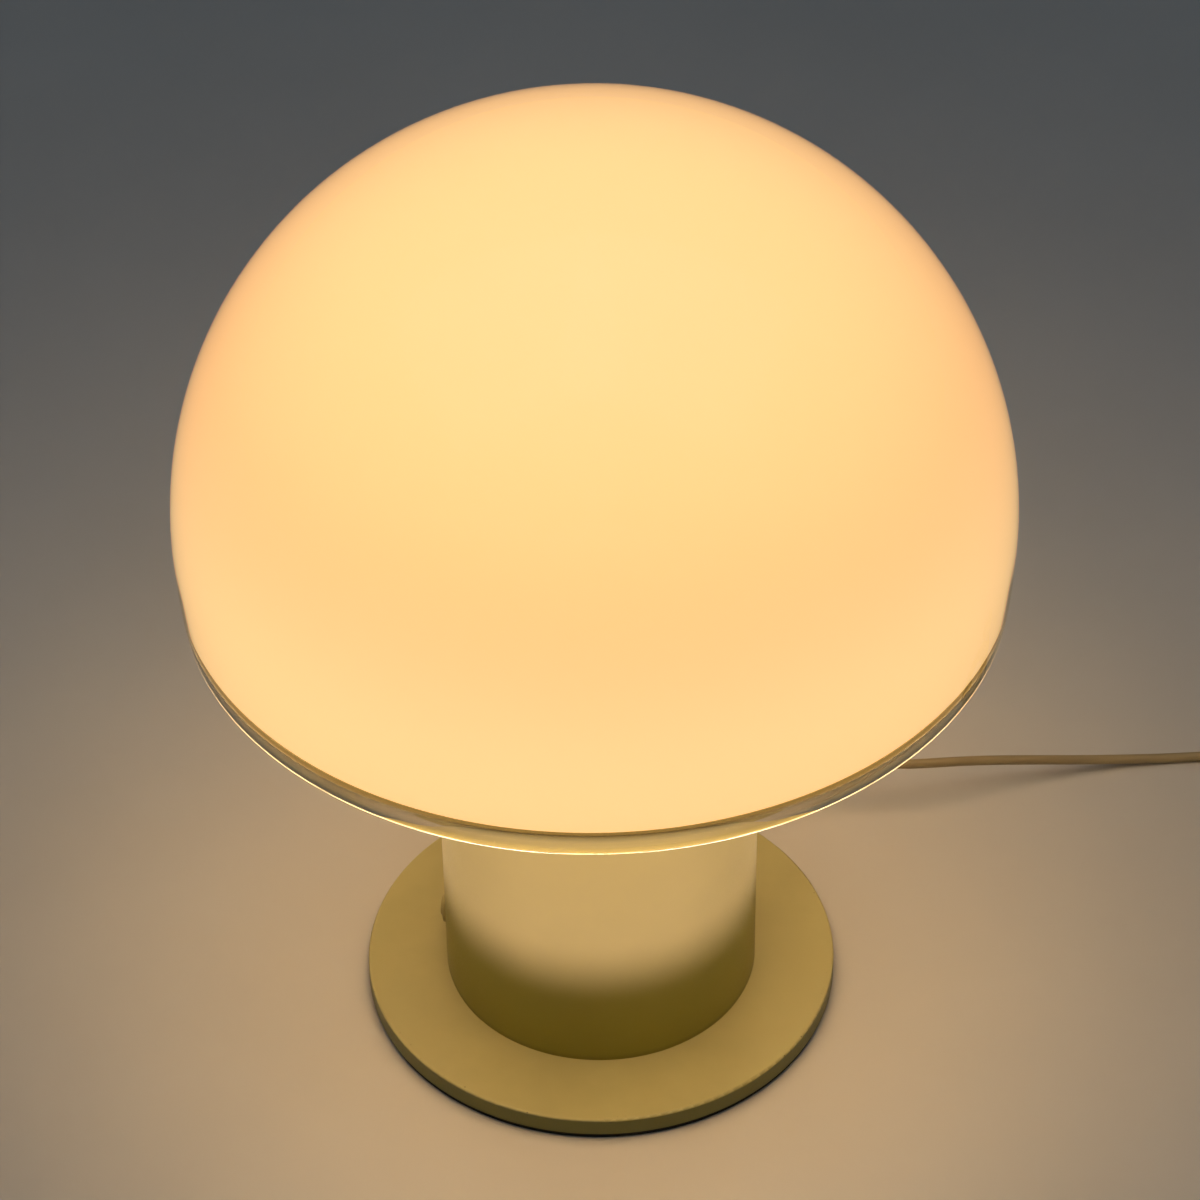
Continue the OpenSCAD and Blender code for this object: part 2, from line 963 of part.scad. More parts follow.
// A flat strap round all the turns at one place
module cord_tie() {
    inner_x = coil_inner_r - cord_r - tie_gap;
    outer_x = coil_outer_r + cord_r + tie_gap;
    low = coil_z - cord_r - tie_gap;
    high = plug_z + cord_r + tie_gap;
    color(black)
        translate([coil_x, coil_y, 0])
            rotate([0, 0, tie_angle])
                translate([0, tie_w / 2, 0])
                    rotate([90, 0, 0])
                        linear_extrude(tie_w)
                            difference() {
                                translate([inner_x - tie_t, low - tie_t])
                                    square([outer_x - inner_x + 2 * tie_t, high - low + 2 * tie_t]);
                                translate([inner_x, low])
                                    square([outer_x - inner_x, high - low]);
                            }
}

// Flat two-pin plug with its moulded strain relief
module plug_body() {
    body_x = plug_x + plug_relief_l;
    ends = [[body_x + plug_edge_r, plug_neck_w], [body_x + plug_l - plug_edge_r, plug_w]];
    color(ivory)
        translate([0, coil_y + coil_outer_r, plug_z]) {
            translate([plug_x, 0, 0])
                rotate([0, 90, 0])
                    cylinder(r1 = plug_relief_tip_r, r2 = plug_relief_root_r, h = plug_relief_l + plug_edge_r);
            hull()
                for (end = ends)
                    for (side = [-1, 1])
                        translate([end[0], side * (end[1] / 2 - plug_edge_r), 0]) {
                            cylinder(r = plug_edge_r, h = plug_t - 2 * plug_bevel, center = true, $fn = 32);
                            cylinder(r = plug_edge_r - plug_bevel, h = plug_t, center = true, $fn = 32);
                        }
        }
}

module plug_pins() {
    pin_x = plug_x + plug_relief_l + plug_l;
    color(steel)
        for (side = [-1, 1])
            translate([pin_x, coil_y + coil_outer_r + side * pin_spacing / 2, plug_z])
                rotate([0, 90, 0]) {
                    cylinder(r = pin_r, h = pin_l - pin_r);
                    translate([0, 0, pin_l - pin_r])
                        sphere(pin_r);
                }
}

// Shade: a clear layer outside and an opal layer inside, which stops short of the clear rim

// Section between two depths in the glass, from the crown to the round end of the lip's arc
module glass_section(from, to) {
    far = 2 * wall_arc_r;
    arc_x = shade_r - wall_arc_r;
    intersection() {
        translate([0, dome_z])
            difference() {
                circle(shade_r - from, $fn = 180);
                circle(shade_r - to, $fn = 180);
            }
        translate([0, dome_z])
            square([shade_d, shade_d]);
    }
    intersection() {
        translate([arc_x, dome_z])
            difference() {
                circle(wall_arc_r - from, $fn = 360);
                circle(wall_arc_r - to, $fn = 360);
            }
        polygon([
            [arc_x, dome_z],
            [arc_x + far, dome_z],
            [arc_x + far * cos(lip_angle), dome_z - far * sin(lip_angle)],
        ]);
    }
}

module shade_clear() {
    lip_r = wall_arc_r - glass_t / 2;
    color(clear)
        rotate_extrude($fn = 180) {
            glass_section(0, clear_t);
            intersection() {
                glass_section(0, glass_t);
                translate([0, lip_z])
                    square([shade_d, rim_h]);
            }
            translate([shade_r - wall_arc_r + lip_r * cos(lip_angle), dome_z - lip_r * sin(lip_angle)])
                circle(glass_t / 2);
        }
}

module shade_opal() {
    color(opal)
        rotate_extrude($fn = 180)
            intersection() {
                glass_section(clear_t + layer_gap, glass_t);
                translate([0, rim_top + layer_gap])
                    square([shade_d, shade_d]);
            }
}

echo("least gap in the coil", coil_gap());
echo("cord length", route_length(cord_route) + route_length(coil_route));

base_pad();
base_disc();
locating_ring();
ring_screws();
column();
stem();
stem_nuts();
stem_washers();
carrier_hub();
carrier_arms();
carrier_tips();
socket_bracket();
holder_nipples();
lampholder_left();
lampholder_right();
screw_shell_left();
screw_shell_right();
contact_left();
contact_right();
bulb_glass_left();
bulb_cap_left();
bulb_glass_right();
bulb_cap_right();
leads();
lead_grommets();
terminal_blocks();
block_screws();
switch_collar();
switch_nut();
switch_body();
switch_button();
cord_bush();
power_cord();
cord_coil();
cord_tie();
plug_body();
plug_pins();
shade_clear();
shade_opal();
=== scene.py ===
"""Looks of a mushroom table lamp: a lit opal dome with a clear rim, on a round column and a disc base.

Lengths are in metres, +Z is up, and the lamp stands on the floor over the origin, seen from -Y.
"""

import logging
import math
from collections.abc import Callable
from dataclasses import dataclass
from enum import Enum

import bpy
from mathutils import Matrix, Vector


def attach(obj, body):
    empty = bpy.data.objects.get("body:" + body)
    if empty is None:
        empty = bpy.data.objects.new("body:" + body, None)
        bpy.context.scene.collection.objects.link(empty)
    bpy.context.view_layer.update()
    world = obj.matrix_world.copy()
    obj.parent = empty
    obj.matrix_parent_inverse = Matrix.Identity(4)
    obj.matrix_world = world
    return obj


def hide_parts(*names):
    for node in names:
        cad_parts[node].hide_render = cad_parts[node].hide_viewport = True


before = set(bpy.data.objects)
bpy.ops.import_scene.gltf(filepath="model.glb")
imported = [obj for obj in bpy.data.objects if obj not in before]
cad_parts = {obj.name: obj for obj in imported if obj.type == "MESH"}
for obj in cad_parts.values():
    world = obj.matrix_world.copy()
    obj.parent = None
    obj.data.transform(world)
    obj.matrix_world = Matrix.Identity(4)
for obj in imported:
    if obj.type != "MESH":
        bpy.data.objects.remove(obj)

LOG = logging.getLogger("mushroom_lamp")

Node = bpy.types.Node
Socket = bpy.types.NodeSocket
Tree = bpy.types.NodeTree
Piece = bpy.types.Object
Colour = tuple[float, float, float]
Point = tuple[float, float, float]
Ring = tuple[float, float]
Span = tuple[float, float]
Input = float | Colour | Socket
Outputs = dict[str, Socket]

# Sizes of the solids that finishes follow too
BASE_RADIUS = 0.115
BASE_TOP = 0.0125
COLUMN_RADIUS = 0.076
DOME_Z = 0.2915

# Distances within which corners are merged, and within which two places count as the same
MERGE = 2e-6
NEAR = 1e-5

BLACK = (0.0, 0.0, 0.0)


class Body(Enum):
    """Bodies that new pieces move with."""

    STAND = "stand"
    SHADE = "shade"
    BULB_LEFT = "bulb_left"
    BULB_RIGHT = "bulb_right"


class Side(Enum):
    """Side of the lamp as the viewer sees it."""

    LEFT = -1
    RIGHT = 1

    @property
    def word(self) -> str:
        """The side's name as the nodes have it."""
        return self.name.lower()

    @property
    def bulb_body(self) -> Body:
        """The body of the bulb on this side."""
        return Body["BULB_" + self.name]


# Shader nodes


class Sheet:
    """A node tree, with short ways to add its nodes and join them."""

    def __init__(self, tree: Tree) -> None:
        """Takes the tree to draw in."""
        self.tree = tree

    def add(self, kind: str, **settings: object) -> Node:
        """Adds a node.

        Args:
            kind: Blender's name of the node's type, without "ShaderNode".
            settings: Properties to set on the node.

        Returns:
            The new node.
        """
        node = self.tree.nodes.new("ShaderNode" + kind)
        for name, value in settings.items():
            setattr(node, name, value)
        return node

    def put(self, socket: Socket, value: Input) -> None:
        """Feeds an input with another node's output, or sets it.

        Args:
            socket: The input.
            value: An output to join to it, a number, a colour or a vector.
        """
        if isinstance(value, Socket):
            self.tree.links.new(value, socket)
        elif socket.type == "RGBA":
            socket.default_value = (*value, 1.0)
        else:
            socket.default_value = value

    def feed(self, node: Node, **values: Input) -> Node:
        """Feeds a node's inputs by name.

        Args:
            node: The node.
            values: What goes into its inputs, by name with _ for a space.

        Returns:
            The same node.
        """
        for name, value in values.items():
            self.put(node.inputs[name.replace("_", " ")], value)
        return node

    def worked(self, kind: str, *values: Input, **settings: object) -> Socket:
        """Adds a node that works something out.

        Args:
            kind: Blender's name of the node's type, without "ShaderNode".
            values: What goes into its live inputs, in their order.
            settings: Properties to set on the node.

        Returns:
            The node's first live output.
        """
        node = self.add(kind, **settings)
        live = [socket for socket in node.inputs if socket.enabled]
        for socket, value in zip(live, values):
            self.put(socket, value)
        return next(socket for socket in node.outputs if socket.enabled)

    def maths(self, operation: str, *values: Input, clamp: bool = False) -> Socket:
        """A sum on numbers."""
        return self.worked("Math", *values, operation=operation, use_clamp=clamp)

    def vectors(self, operation: str, *values: Input) -> Socket:
        """A sum on vectors."""
        return self.worked("VectorMath", *values, operation=operation)

    def vector(self, x: Input, y: Input, z: Input) -> Socket:
        """A vector from three numbers."""
        return self.worked("CombineXYZ", x, y, z)

    def parts(self, vector: Socket) -> list[Socket]:
        """The three numbers of a vector."""
        return list(self.worked("SeparateXYZ", vector).node.outputs)

    def scaled(self, vector: Input, share: Socket) -> Socket:
        """A colour or a vector times a number."""
        return self.vectors("MULTIPLY", vector, self.vector(share, share, share))

    def mix(self, factor: Input, low: Input, high: Input) -> Socket:
        """A colour between two others."""
        return self.worked("Mix", factor, low, high, data_type="RGBA")

    def flecked(self, under: Input, mask: Input, share: float, fleck: Input) -> Socket:
        """A colour with a share of another one where a mask is 1."""
        return self.mix(self.maths("MULTIPLY", mask, share), under, fleck)

    def spread(self, value: Input, low: Input, high: Input, *ends: float) -> Socket:
        """How far a number is from one end of a range to the other, from 0 to 1 or between given ends."""
        return self.worked("MapRange", value, low, high, *ends, interpolation_type="SMOOTHSTEP")

    def place(self) -> Socket:
        """The point of the surface in the lamp's own frame."""
        return self.add("TexCoord").outputs["Object"]

    def noise(
        self, scale: Input, detail: float = 2.0, roughness: float = 0.5, place: Socket | None = None
    ) -> Socket:
        """Soft noise about 0.5, over the lamp's own frame or at a given place."""
        return self.worked("TexNoise", place or self.place(), scale, detail, roughness)

    def bump(self, height: Input, strength: float, depth: float) -> Socket:
        """The normal of a relief, by its height from 0 to 1, its strength and its depth in metres."""
        return self.feed(self.add("Bump"), Strength=strength, Distance=depth, Height=height).outputs[0]

    def effect(self, effect: "Effect", **inputs: Input) -> Outputs:
        """Places a shared effect with its own values, and gives its outputs by name."""
        node = self.feed(self.add("Group", node_tree=effect.tree()), **inputs)
        return {socket.name: socket for socket in node.outputs}


class Effect(Enum):
    """Effects of the finishes, each a node group that is built once."""

    GRAIN = "fine_grain"
    SPECKS = "wear_specks"
    EDGE = "turned_edge"
    GLOW = "bulb_glow"
    RISE = "height_ramp"
    THREAD = "screw_thread"

    def tree(self) -> Tree:
        """The effect's node group, made the first time it is asked for.

        Returns:
            The group.
        """
        known = bpy.data.node_groups.get(self.value)
        if known:
            return known
        draw = getattr(self, "_" + self.value)
        return draw(bpy.data.node_groups.new(self.value, "ShaderNodeTree"))

    @staticmethod
    def _start(tree: Tree, **inputs: float) -> tuple[Sheet, Outputs]:
        """Gives a group its inputs.

        Args:
            tree: The new group.
            inputs: Usual value of each input, by name with _ for a space.

        Returns:
            A sheet to draw in, and the inputs inside the group by name.
        """
        for name, value in inputs.items():
            socket = tree.interface.new_socket(
                name=name.replace("_", " "), in_out="INPUT", socket_type="NodeSocketFloat"
            )
            socket.default_value = value
        source = tree.nodes.new("NodeGroupInput")
        return Sheet(tree), {socket.name: socket for socket in source.outputs if socket.name}

    @staticmethod
    def _end(sheet: Sheet, **outputs: Socket) -> Tree:
        """Gives a group its outputs.

        Args:
            sheet: The group's sheet.
            outputs: What goes out, by name.

        Returns:
            The finished group.
        """
        for name in outputs:
            sheet.tree.interface.new_socket(name=name, in_out="OUTPUT", socket_type="NodeSocketFloat")
        sheet.feed(sheet.tree.nodes.new("NodeGroupOutput"), **outputs)
        return sheet.tree

    def _fine_grain(self, tree: Tree) -> Tree:
        """Broad clouds for colour and fine grain for relief.

        Args:
            tree: The new group.

        Returns:
            The finished group.
        """
        sheet, given = self._start(tree, Cloud_Scale=20.0, Grain_Scale=900.0, Cloud_From=0.3, Cloud_To=0.7)
        broad = sheet.noise(given["Cloud Scale"], detail=4.0, roughness=0.6)
        cloud = sheet.spread(broad, given["Cloud From"], given["Cloud To"])
        grain = sheet.noise(given["Grain Scale"], detail=3.0, roughness=0.6)
        return self._end(sheet, Cloud=cloud, Grain=grain)

    def _wear_specks(self, tree: Tree) -> Tree:
        """Scattered specks of uneven size, where the paint has chipped or dirt has settled.

        Args:
            tree: The new group.

        Returns:
            The finished group.
        """
        sheet, given = self._start(
            tree, Scale=90.0, Amount=0.1, Ragged_Scale=1400.0, Raggedness=0.12, Softness=0.08
        )
        cells = sheet.feed(sheet.add("TexVoronoi"), Vector=sheet.place(), Scale=given["Scale"]).outputs
        size = sheet.maths("MULTIPLY", given["Amount"], sheet.parts(cells["Color"])[0])
        noise = sheet.noise(given["Ragged Scale"])
        ragged = sheet.maths("MULTIPLY_ADD", noise, given["Raggedness"], cells["Distance"])
        edge = sheet.maths("ADD", size, given["Softness"])
        return self._end(sheet, Mask=sheet.spread(ragged, size, edge, 1.0, 0.0))

    def _turned_edge(self, tree: Tree) -> Tree:
        """1 on a circle round the lamp's axis, falling to 0 within a width of it.

        Args:
            tree: The new group.

        Returns:
            The finished group.
        """
        sheet, given = self._start(tree, Radius=0.1, Height=0.01, Width=0.004)
        x, y, z = sheet.parts(sheet.place())
        out = sheet.vectors("LENGTH", sheet.vector(x, y, 0.0))
        beside = sheet.maths("SUBTRACT", out, given["Radius"])
        above = sheet.maths("SUBTRACT", z, given["Height"])
        away = sheet.vectors("LENGTH", sheet.vector(beside, 0.0, above))
        return self._end(sheet, Mask=sheet.spread(away, 0.0, given["Width"], 1.0, 0.0))

    def _bulb_glow(self, tree: Tree) -> Tree:
        """Light that a dome gets from a bulb on each side, and which side of its wall a point is on.

        Args:
            tree: The new group.

        Returns:
            The finished group.
        """
        sheet, given = self._start(
            tree, Bulb_X=0.05, Bulb_Y=0.0, Bulb_Z=0.37, Dome_Z=DOME_Z, Wall_Middle=0.186, Reach=0.09
        )
        place = sheet.place()
        x, y, z = sheet.parts(place)
        rise = sheet.maths("MAXIMUM", sheet.maths("SUBTRACT", z, given["Dome Z"]), 0.0)
        arm = sheet.vector(x, y, rise)
        normal = sheet.vectors("NORMALIZE", arm)
        lights = []
        for side in Side:
            bulb_x = sheet.maths("MULTIPLY", given["Bulb X"], float(side.value))
            bulb = sheet.vector(bulb_x, given["Bulb Y"], given["Bulb Z"])
            ray = sheet.vectors("SUBTRACT", place, bulb)
            far = sheet.vectors("LENGTH", ray)
            slant = sheet.maths("DIVIDE", sheet.vectors("DOT_PRODUCT", ray, normal), far)
            facing = sheet.maths("MAXIMUM", slant, 0.0)
            near = sheet.maths("POWER", sheet.maths("DIVIDE", given["Reach"], far), 2.0)
            lights.append(sheet.maths("MULTIPLY", facing, near))
        inside = sheet.maths("LESS_THAN", sheet.vectors("LENGTH", arm), given["Wall Middle"])
        return self._end(sheet, Light=sheet.maths("ADD", *lights), Inside=inside)

    def _height_ramp(self, tree: Tree) -> Tree:
        """0 below one height, 1 above another, and soft between them.

        Args:
            tree: The new group.

        Returns:
            The finished group.
        """
        sheet, given = self._start(tree, Low=0.0, High=1.0)
        z = sheet.parts(sheet.place())[2]
        return self._end(sheet, Rise=sheet.spread(z, given["Low"], given["High"]))

    def _screw_thread(self, tree: Tree) -> Tree:
        """Height of a thread that winds round the lamp's axis.

        Args:
            tree: The new group.

        Returns:
            The finished group.
        """
        sheet, given = self._start(tree, Pitch=0.001)
        x, y, z = sheet.parts(sheet.place())
        turn = sheet.maths("DIVIDE", sheet.maths("ARCTAN2", y, x), math.tau)
        wound = sheet.maths("SUBTRACT", sheet.maths("DIVIDE", z, given["Pitch"]), turn)
        return self._end(sheet, Height=sheet.maths("PINGPONG", wound, 0.5))


# Finishes


WHOLE = (0.0, 1.0)
GRAIN_SPAN = (0.2, 0.8)
STREAK_SPAN = (0.45, 0.65)


def dimmed(colour: Colour, share: float) -> Colour:
    """A colour at a share of its brightness."""
    return tuple(share * part for part in colour)


@dataclass(frozen=True)
class Finish:
    """A finish with a name, a colour and a grain, whose material is made once."""

    name: str
    colour: Colour
    roughness: float = 0.5
    cloud_scale: float = 30.0
    grain_scale: float = 1200.0

    def material(self) -> bpy.types.Material:
        """The finish's material, made the first time it is asked for.

        Returns:
            The material.
        """
        known = bpy.data.materials.get(self.name)
        if known:
            return known
        made = bpy.data.materials.new(self.name)
        made.use_nodes = True
        sheet = Sheet(made.node_tree)
        shader = next(node for node in made.node_tree.nodes if node.type == "BSDF_PRINCIPLED")
        sheet.feed(shader, Base_Color=self.colour, Roughness=self.roughness)
        self.draw(sheet, shader)
        return made

    def draw(self, sheet: Sheet, shader: Node) -> None:
        """Draws what is special to the finish.

        Args:
            sheet: The material's nodes.
            shader: Its Principled shader.
        """
        raise NotImplementedError

    def grain(self, sheet: Sheet) -> Outputs:
        """The finish's own clouds and fine grain."""
        return sheet.effect(Effect.GRAIN, Cloud_Scale=self.cloud_scale, Grain_Scale=self.grain_scale)

    def shaded(self, share: float) -> Colour:
        """The finish's colour at a share of its brightness."""
        return dimmed(self.colour, share)

    def clouded(self, sheet: Sheet, cloud: Input, low: float, high: float) -> Socket:
        """The finish's colour, clouded between two shares of its brightness."""
        return sheet.mix(cloud, self.shaded(low), self.shaded(high))

    def uneven(self, sheet: Sheet, value: Input, span: Span, low: float, high: float) -> Socket:
        """The finish's roughness, changed by two amounts at the ends of a value's span."""
        return sheet.spread(value, *span, self.roughness + low, self.roughness + high)


@dataclass(frozen=True)
class Lacquer(Finish):
    """Satin lacquer on a steel disc, with a fine peel and a chipped top edge, a pale line painted along that
    edge as a highlight, and a side painted darker as shade.
    """

    cloud_scale: float = 14.0
    grain_scale: float = 700.0
    edge_width: float = 0.0035
    # Painted highlight: width of the pale line along the top edge.
    edge_highlight_width: float = 0.0014
    # Painted shade: below these heights the disc's side takes the darker side colour.
    side_to: float = 0.0112
    side_shade_from: float = 0.0123
    side: Colour = (0.210, 0.205, 0.052)
    chip: Colour = (0.10, 0.075, 0.04)

    def edge(self, sheet: Sheet, width: float) -> Socket:
        """A mask along the disc's top edge."""
        return sheet.effect(Effect.EDGE, Radius=BASE_RADIUS, Height=BASE_TOP, Width=width)["Mask"]

    def draw(self, sheet: Sheet, shader: Node) -> None:
        """Draws the lacquer's clouds, peel and wear, the painted shade of its side and the painted highlight
        along its top edge.

        Args:
            sheet: The material's nodes.
            shader: Its Principled shader.
        """
        grain = self.grain(sheet)
        chips = sheet.effect(Effect.SPECKS, Scale=260.0, Amount=0.16)["Mask"]
        dust = sheet.effect(Effect.SPECKS, Scale=120.0, Amount=0.02)["Mask"]
        # Painted shade: below the top face the disc's side is drawn in a darker colour.
        top = sheet.effect(Effect.RISE, Low=self.side_to, High=self.side_shade_from)["Rise"]
        worn = sheet.maths("MULTIPLY", self.edge(sheet, self.edge_width), chips, clamp=True)
        side_shaded = sheet.mix(top, self.side, self.clouded(sheet, grain["Cloud"], low=0.93, high=1.05))
        # Painted highlight: a pale line along the disc's top edge.
        rub = self.edge(sheet, self.edge_highlight_width)
        highlighted = sheet.flecked(side_shaded, rub, share=0.8, fleck=self.shaded(1.35))
        dusty = sheet.flecked(highlighted, dust, share=0.3, fleck=self.shaded(0.55))
        sheet.feed(
            shader, Base_Color=sheet.mix(worn, dusty, self.chip),
            Roughness=self.uneven(sheet, grain["Grain"], GRAIN_SPAN, low=-0.06, high=0.08),
            Normal=sheet.bump(grain["Grain"], strength=0.25, depth=0.00012),
        )


@dataclass(frozen=True)
class GlowingPlastic(Finish):
    """Satin moulded plastic with a glow painted above the wiring chamber, as bulb light through its wall,
    dimmer towards its sides and darker at its foot as painted shade.
    """

    cloud_scale: float = 9.0
    grain_scale: float = 1100.0
    # Painted light: the wall glows from lit_from up and is dark below dark_up_to; the glow fades from
    # glow_middle near X = 0 to glow_side_shade at the sides as painted shade.
    dark_up_to: float = 0.0505
    lit_from: float = 0.092
    glow: Colour = (0.426, 0.275, 0.118)
    glow_middle: float = 0.99
    glow_side_shade: float = 0.74
    middle_to: float = 0.030
    # Painted shade: width of the darker band where the column stands on the base.
    foot_shade_width: float = 0.004

    def draw(self, sheet: Sheet, shader: Node) -> None:
        """Draws the plastic's clouds, the painted glow in its wall, dimmer towards its sides as painted
        shade, and the painted shade at its foot.

        Args:
            sheet: The material's nodes.
            shader: Its Principled shader.
        """
        grain = self.grain(sheet)
        # Painted light: the wall's glow, from lit_from up.
        lit = sheet.effect(Effect.RISE, Low=self.dark_up_to, High=self.lit_from)["Rise"]
        # Painted shade in the crease at the column's foot.
        foot_shade = sheet.effect(Effect.EDGE, Radius=COLUMN_RADIUS, Height=BASE_TOP, Width=self.foot_shade_width)["Mask"]
        body = self.clouded(sheet, grain["Cloud"], low=0.95, high=1.04)
        light = sheet.mix(grain["Cloud"], dimmed(self.glow, 0.97), dimmed(self.glow, 1.03))
        # Painted shade: the glow dims away from X = 0.
        across = sheet.maths("ABSOLUTE", sheet.parts(sheet.place())[0])
        fall = sheet.spread(across, self.middle_to, COLUMN_RADIUS, self.glow_middle, self.glow_side_shade)
        sheet.feed(
            shader, Base_Color=sheet.flecked(body, foot_shade, share=0.45, fleck=self.shaded(0.5)),
            Emission_Color=sheet.mix(lit, BLACK, sheet.scaled(light, fall)), Emission_Strength=1.0,
            Roughness=self.uneven(sheet, grain["Grain"], GRAIN_SPAN, low=-0.05, high=0.07),
            Normal=sheet.bump(grain["Grain"], strength=0.15, depth=0.00006),
        )


@dataclass(frozen=True)
class Plastic(Finish):
    """Moulded plastic or a soft sheath, with a fine skin and a little dirt."""

    relief: float = 0.00006
    dirt: float = 0.25

    def draw(self, sheet: Sheet, shader: Node) -> None:
        """Draws the plastic's clouds, dirt and skin.

        Args:
            sheet: The material's nodes.
            shader: Its Principled shader.
        """
        grain = self.grain(sheet)
        specks = sheet.effect(Effect.SPECKS, Scale=180.0, Amount=0.05)["Mask"]
        body = self.clouded(sheet, grain["Cloud"], low=0.9, high=1.06)
        sheet.feed(
            shader, Base_Color=sheet.flecked(body, specks, share=self.dirt, fleck=self.shaded(0.4)),
            Roughness=self.uneven(sheet, grain["Cloud"], WHOLE, low=-0.06, high=0.08),
            Normal=sheet.bump(grain["Grain"], strength=0.3, depth=self.relief),
        )


@dataclass(frozen=True)
class Rubber(Finish):
    """Matt black rubber with an open grain and pale dust."""

    cloud_scale: float = 45.0
    grain_scale: float = 1600.0
    dust: Colour = (0.16, 0.14, 0.11)

    def draw(self, sheet: Sheet, shader: Node) -> None:
        """Draws the rubber's grain and dust.

        Args:
            sheet: The material's nodes.
            shader: Its Principled shader.
        """
        grain = self.grain(sheet)
        specks = sheet.effect(Effect.SPECKS, Scale=240.0, Amount=0.08)["Mask"]
        body = self.clouded(sheet, grain["Cloud"], low=0.75, high=1.3)
        sheet.feed(
            shader, Base_Color=sheet.flecked(body, specks, share=0.25, fleck=self.dust),
            Normal=sheet.bump(grain["Grain"], strength=0.6, depth=0.0002),
        )


@dataclass(frozen=True)
class Metal(Finish):
    """Plated or bright metal with soft blotches, and a thread where it has a pitch."""

    cloud_scale: float = 60.0
    grain_scale: float = 1500.0
    pitch: float = 0.0
    thread_share: float = 0.6
    relief: float = 0.00003

    def draw(self, sheet: Sheet, shader: Node) -> None:
        """Draws the metal's blotches and thread.

        Args:
            sheet: The material's nodes.
            shader: Its Principled shader.
        """
        grain = self.grain(sheet)
        height, depth = grain["Grain"], self.relief
        if self.pitch:
            height = sheet.effect(Effect.THREAD, Pitch=self.pitch)["Height"]
            depth = self.thread_share * self.pitch
        sheet.feed(
            shader, Metallic=1.0, Base_Color=self.clouded(sheet, grain["Cloud"], low=0.82, high=1.08),
            Roughness=self.uneven(sheet, grain["Cloud"], WHOLE, low=0.1, high=-0.06),
            Normal=sheet.bump(height, strength=0.5, depth=depth),
        )


@dataclass(frozen=True)
class OpalGlass(Finish):
    """Opal glass that two bulbs light from inside: brighter near them, and brighter on its inner side. Its
    lower part is painted paler as the reflection of the lit floor, and it is painted slightly darker towards
    +X as shade.
    """

    cloud_scale: float = 7.0
    grain_scale: float = 300.0
    hot: Point = (0.025, -0.03, 0.36)
    # Painted reflection: from these heights down the dome turns to the paler low colour, for the lit floor
    # reflected in it.
    low_to: float = 0.295
    floor_reflection_from: float = 0.392
    light_span: Span = (0.40, 1.05)
    dim: Colour = (0.48, 0.227, 0.068)
    bright: Colour = (0.48, 0.277, 0.077)
    low: Colour = (0.50, 0.293, 0.111)
    inner_gain: Colour = (1.75, 1.85, 2.25)
    # Painted shade: share per metre of X by which the glow dims towards +X.
    lean: float = -0.15
    strength: float = 2.0

    def draw(self, sheet: Sheet, shader: Node) -> None:
        """Draws the light that comes through the glass, with a painted floor reflection on the lower dome and
        painted shade towards +X.

        Args:
            sheet: The material's nodes.
            shader: Its Principled shader.
        """
        grain = self.grain(sheet)
        hot_x, hot_y, hot_z = self.hot
        glow = sheet.effect(Effect.GLOW, Bulb_X=hot_x, Bulb_Y=hot_y, Bulb_Z=hot_z)
        # Painted reflection: the lower dome takes the paler low colour.
        rise = sheet.effect(Effect.RISE, Low=self.low_to, High=self.floor_reflection_from)["Rise"]
        lit = sheet.mix(sheet.spread(glow["Light"], *self.light_span), self.dim, self.bright)
        # Painted shade: the glow is dimmer towards +X.
        share = sheet.maths("MULTIPLY_ADD", sheet.parts(sheet.place())[0], self.lean, 1.0)
        outside = sheet.scaled(sheet.mix(rise, self.low, lit), share)
        inside = sheet.vectors("MULTIPLY", outside, self.inner_gain)
        sheet.feed(
            shader, Base_Color=self.clouded(sheet, grain["Cloud"], low=0.97, high=1.0),
            Emission_Color=sheet.mix(glow["Inside"], outside, inside), Emission_Strength=self.strength,
        )


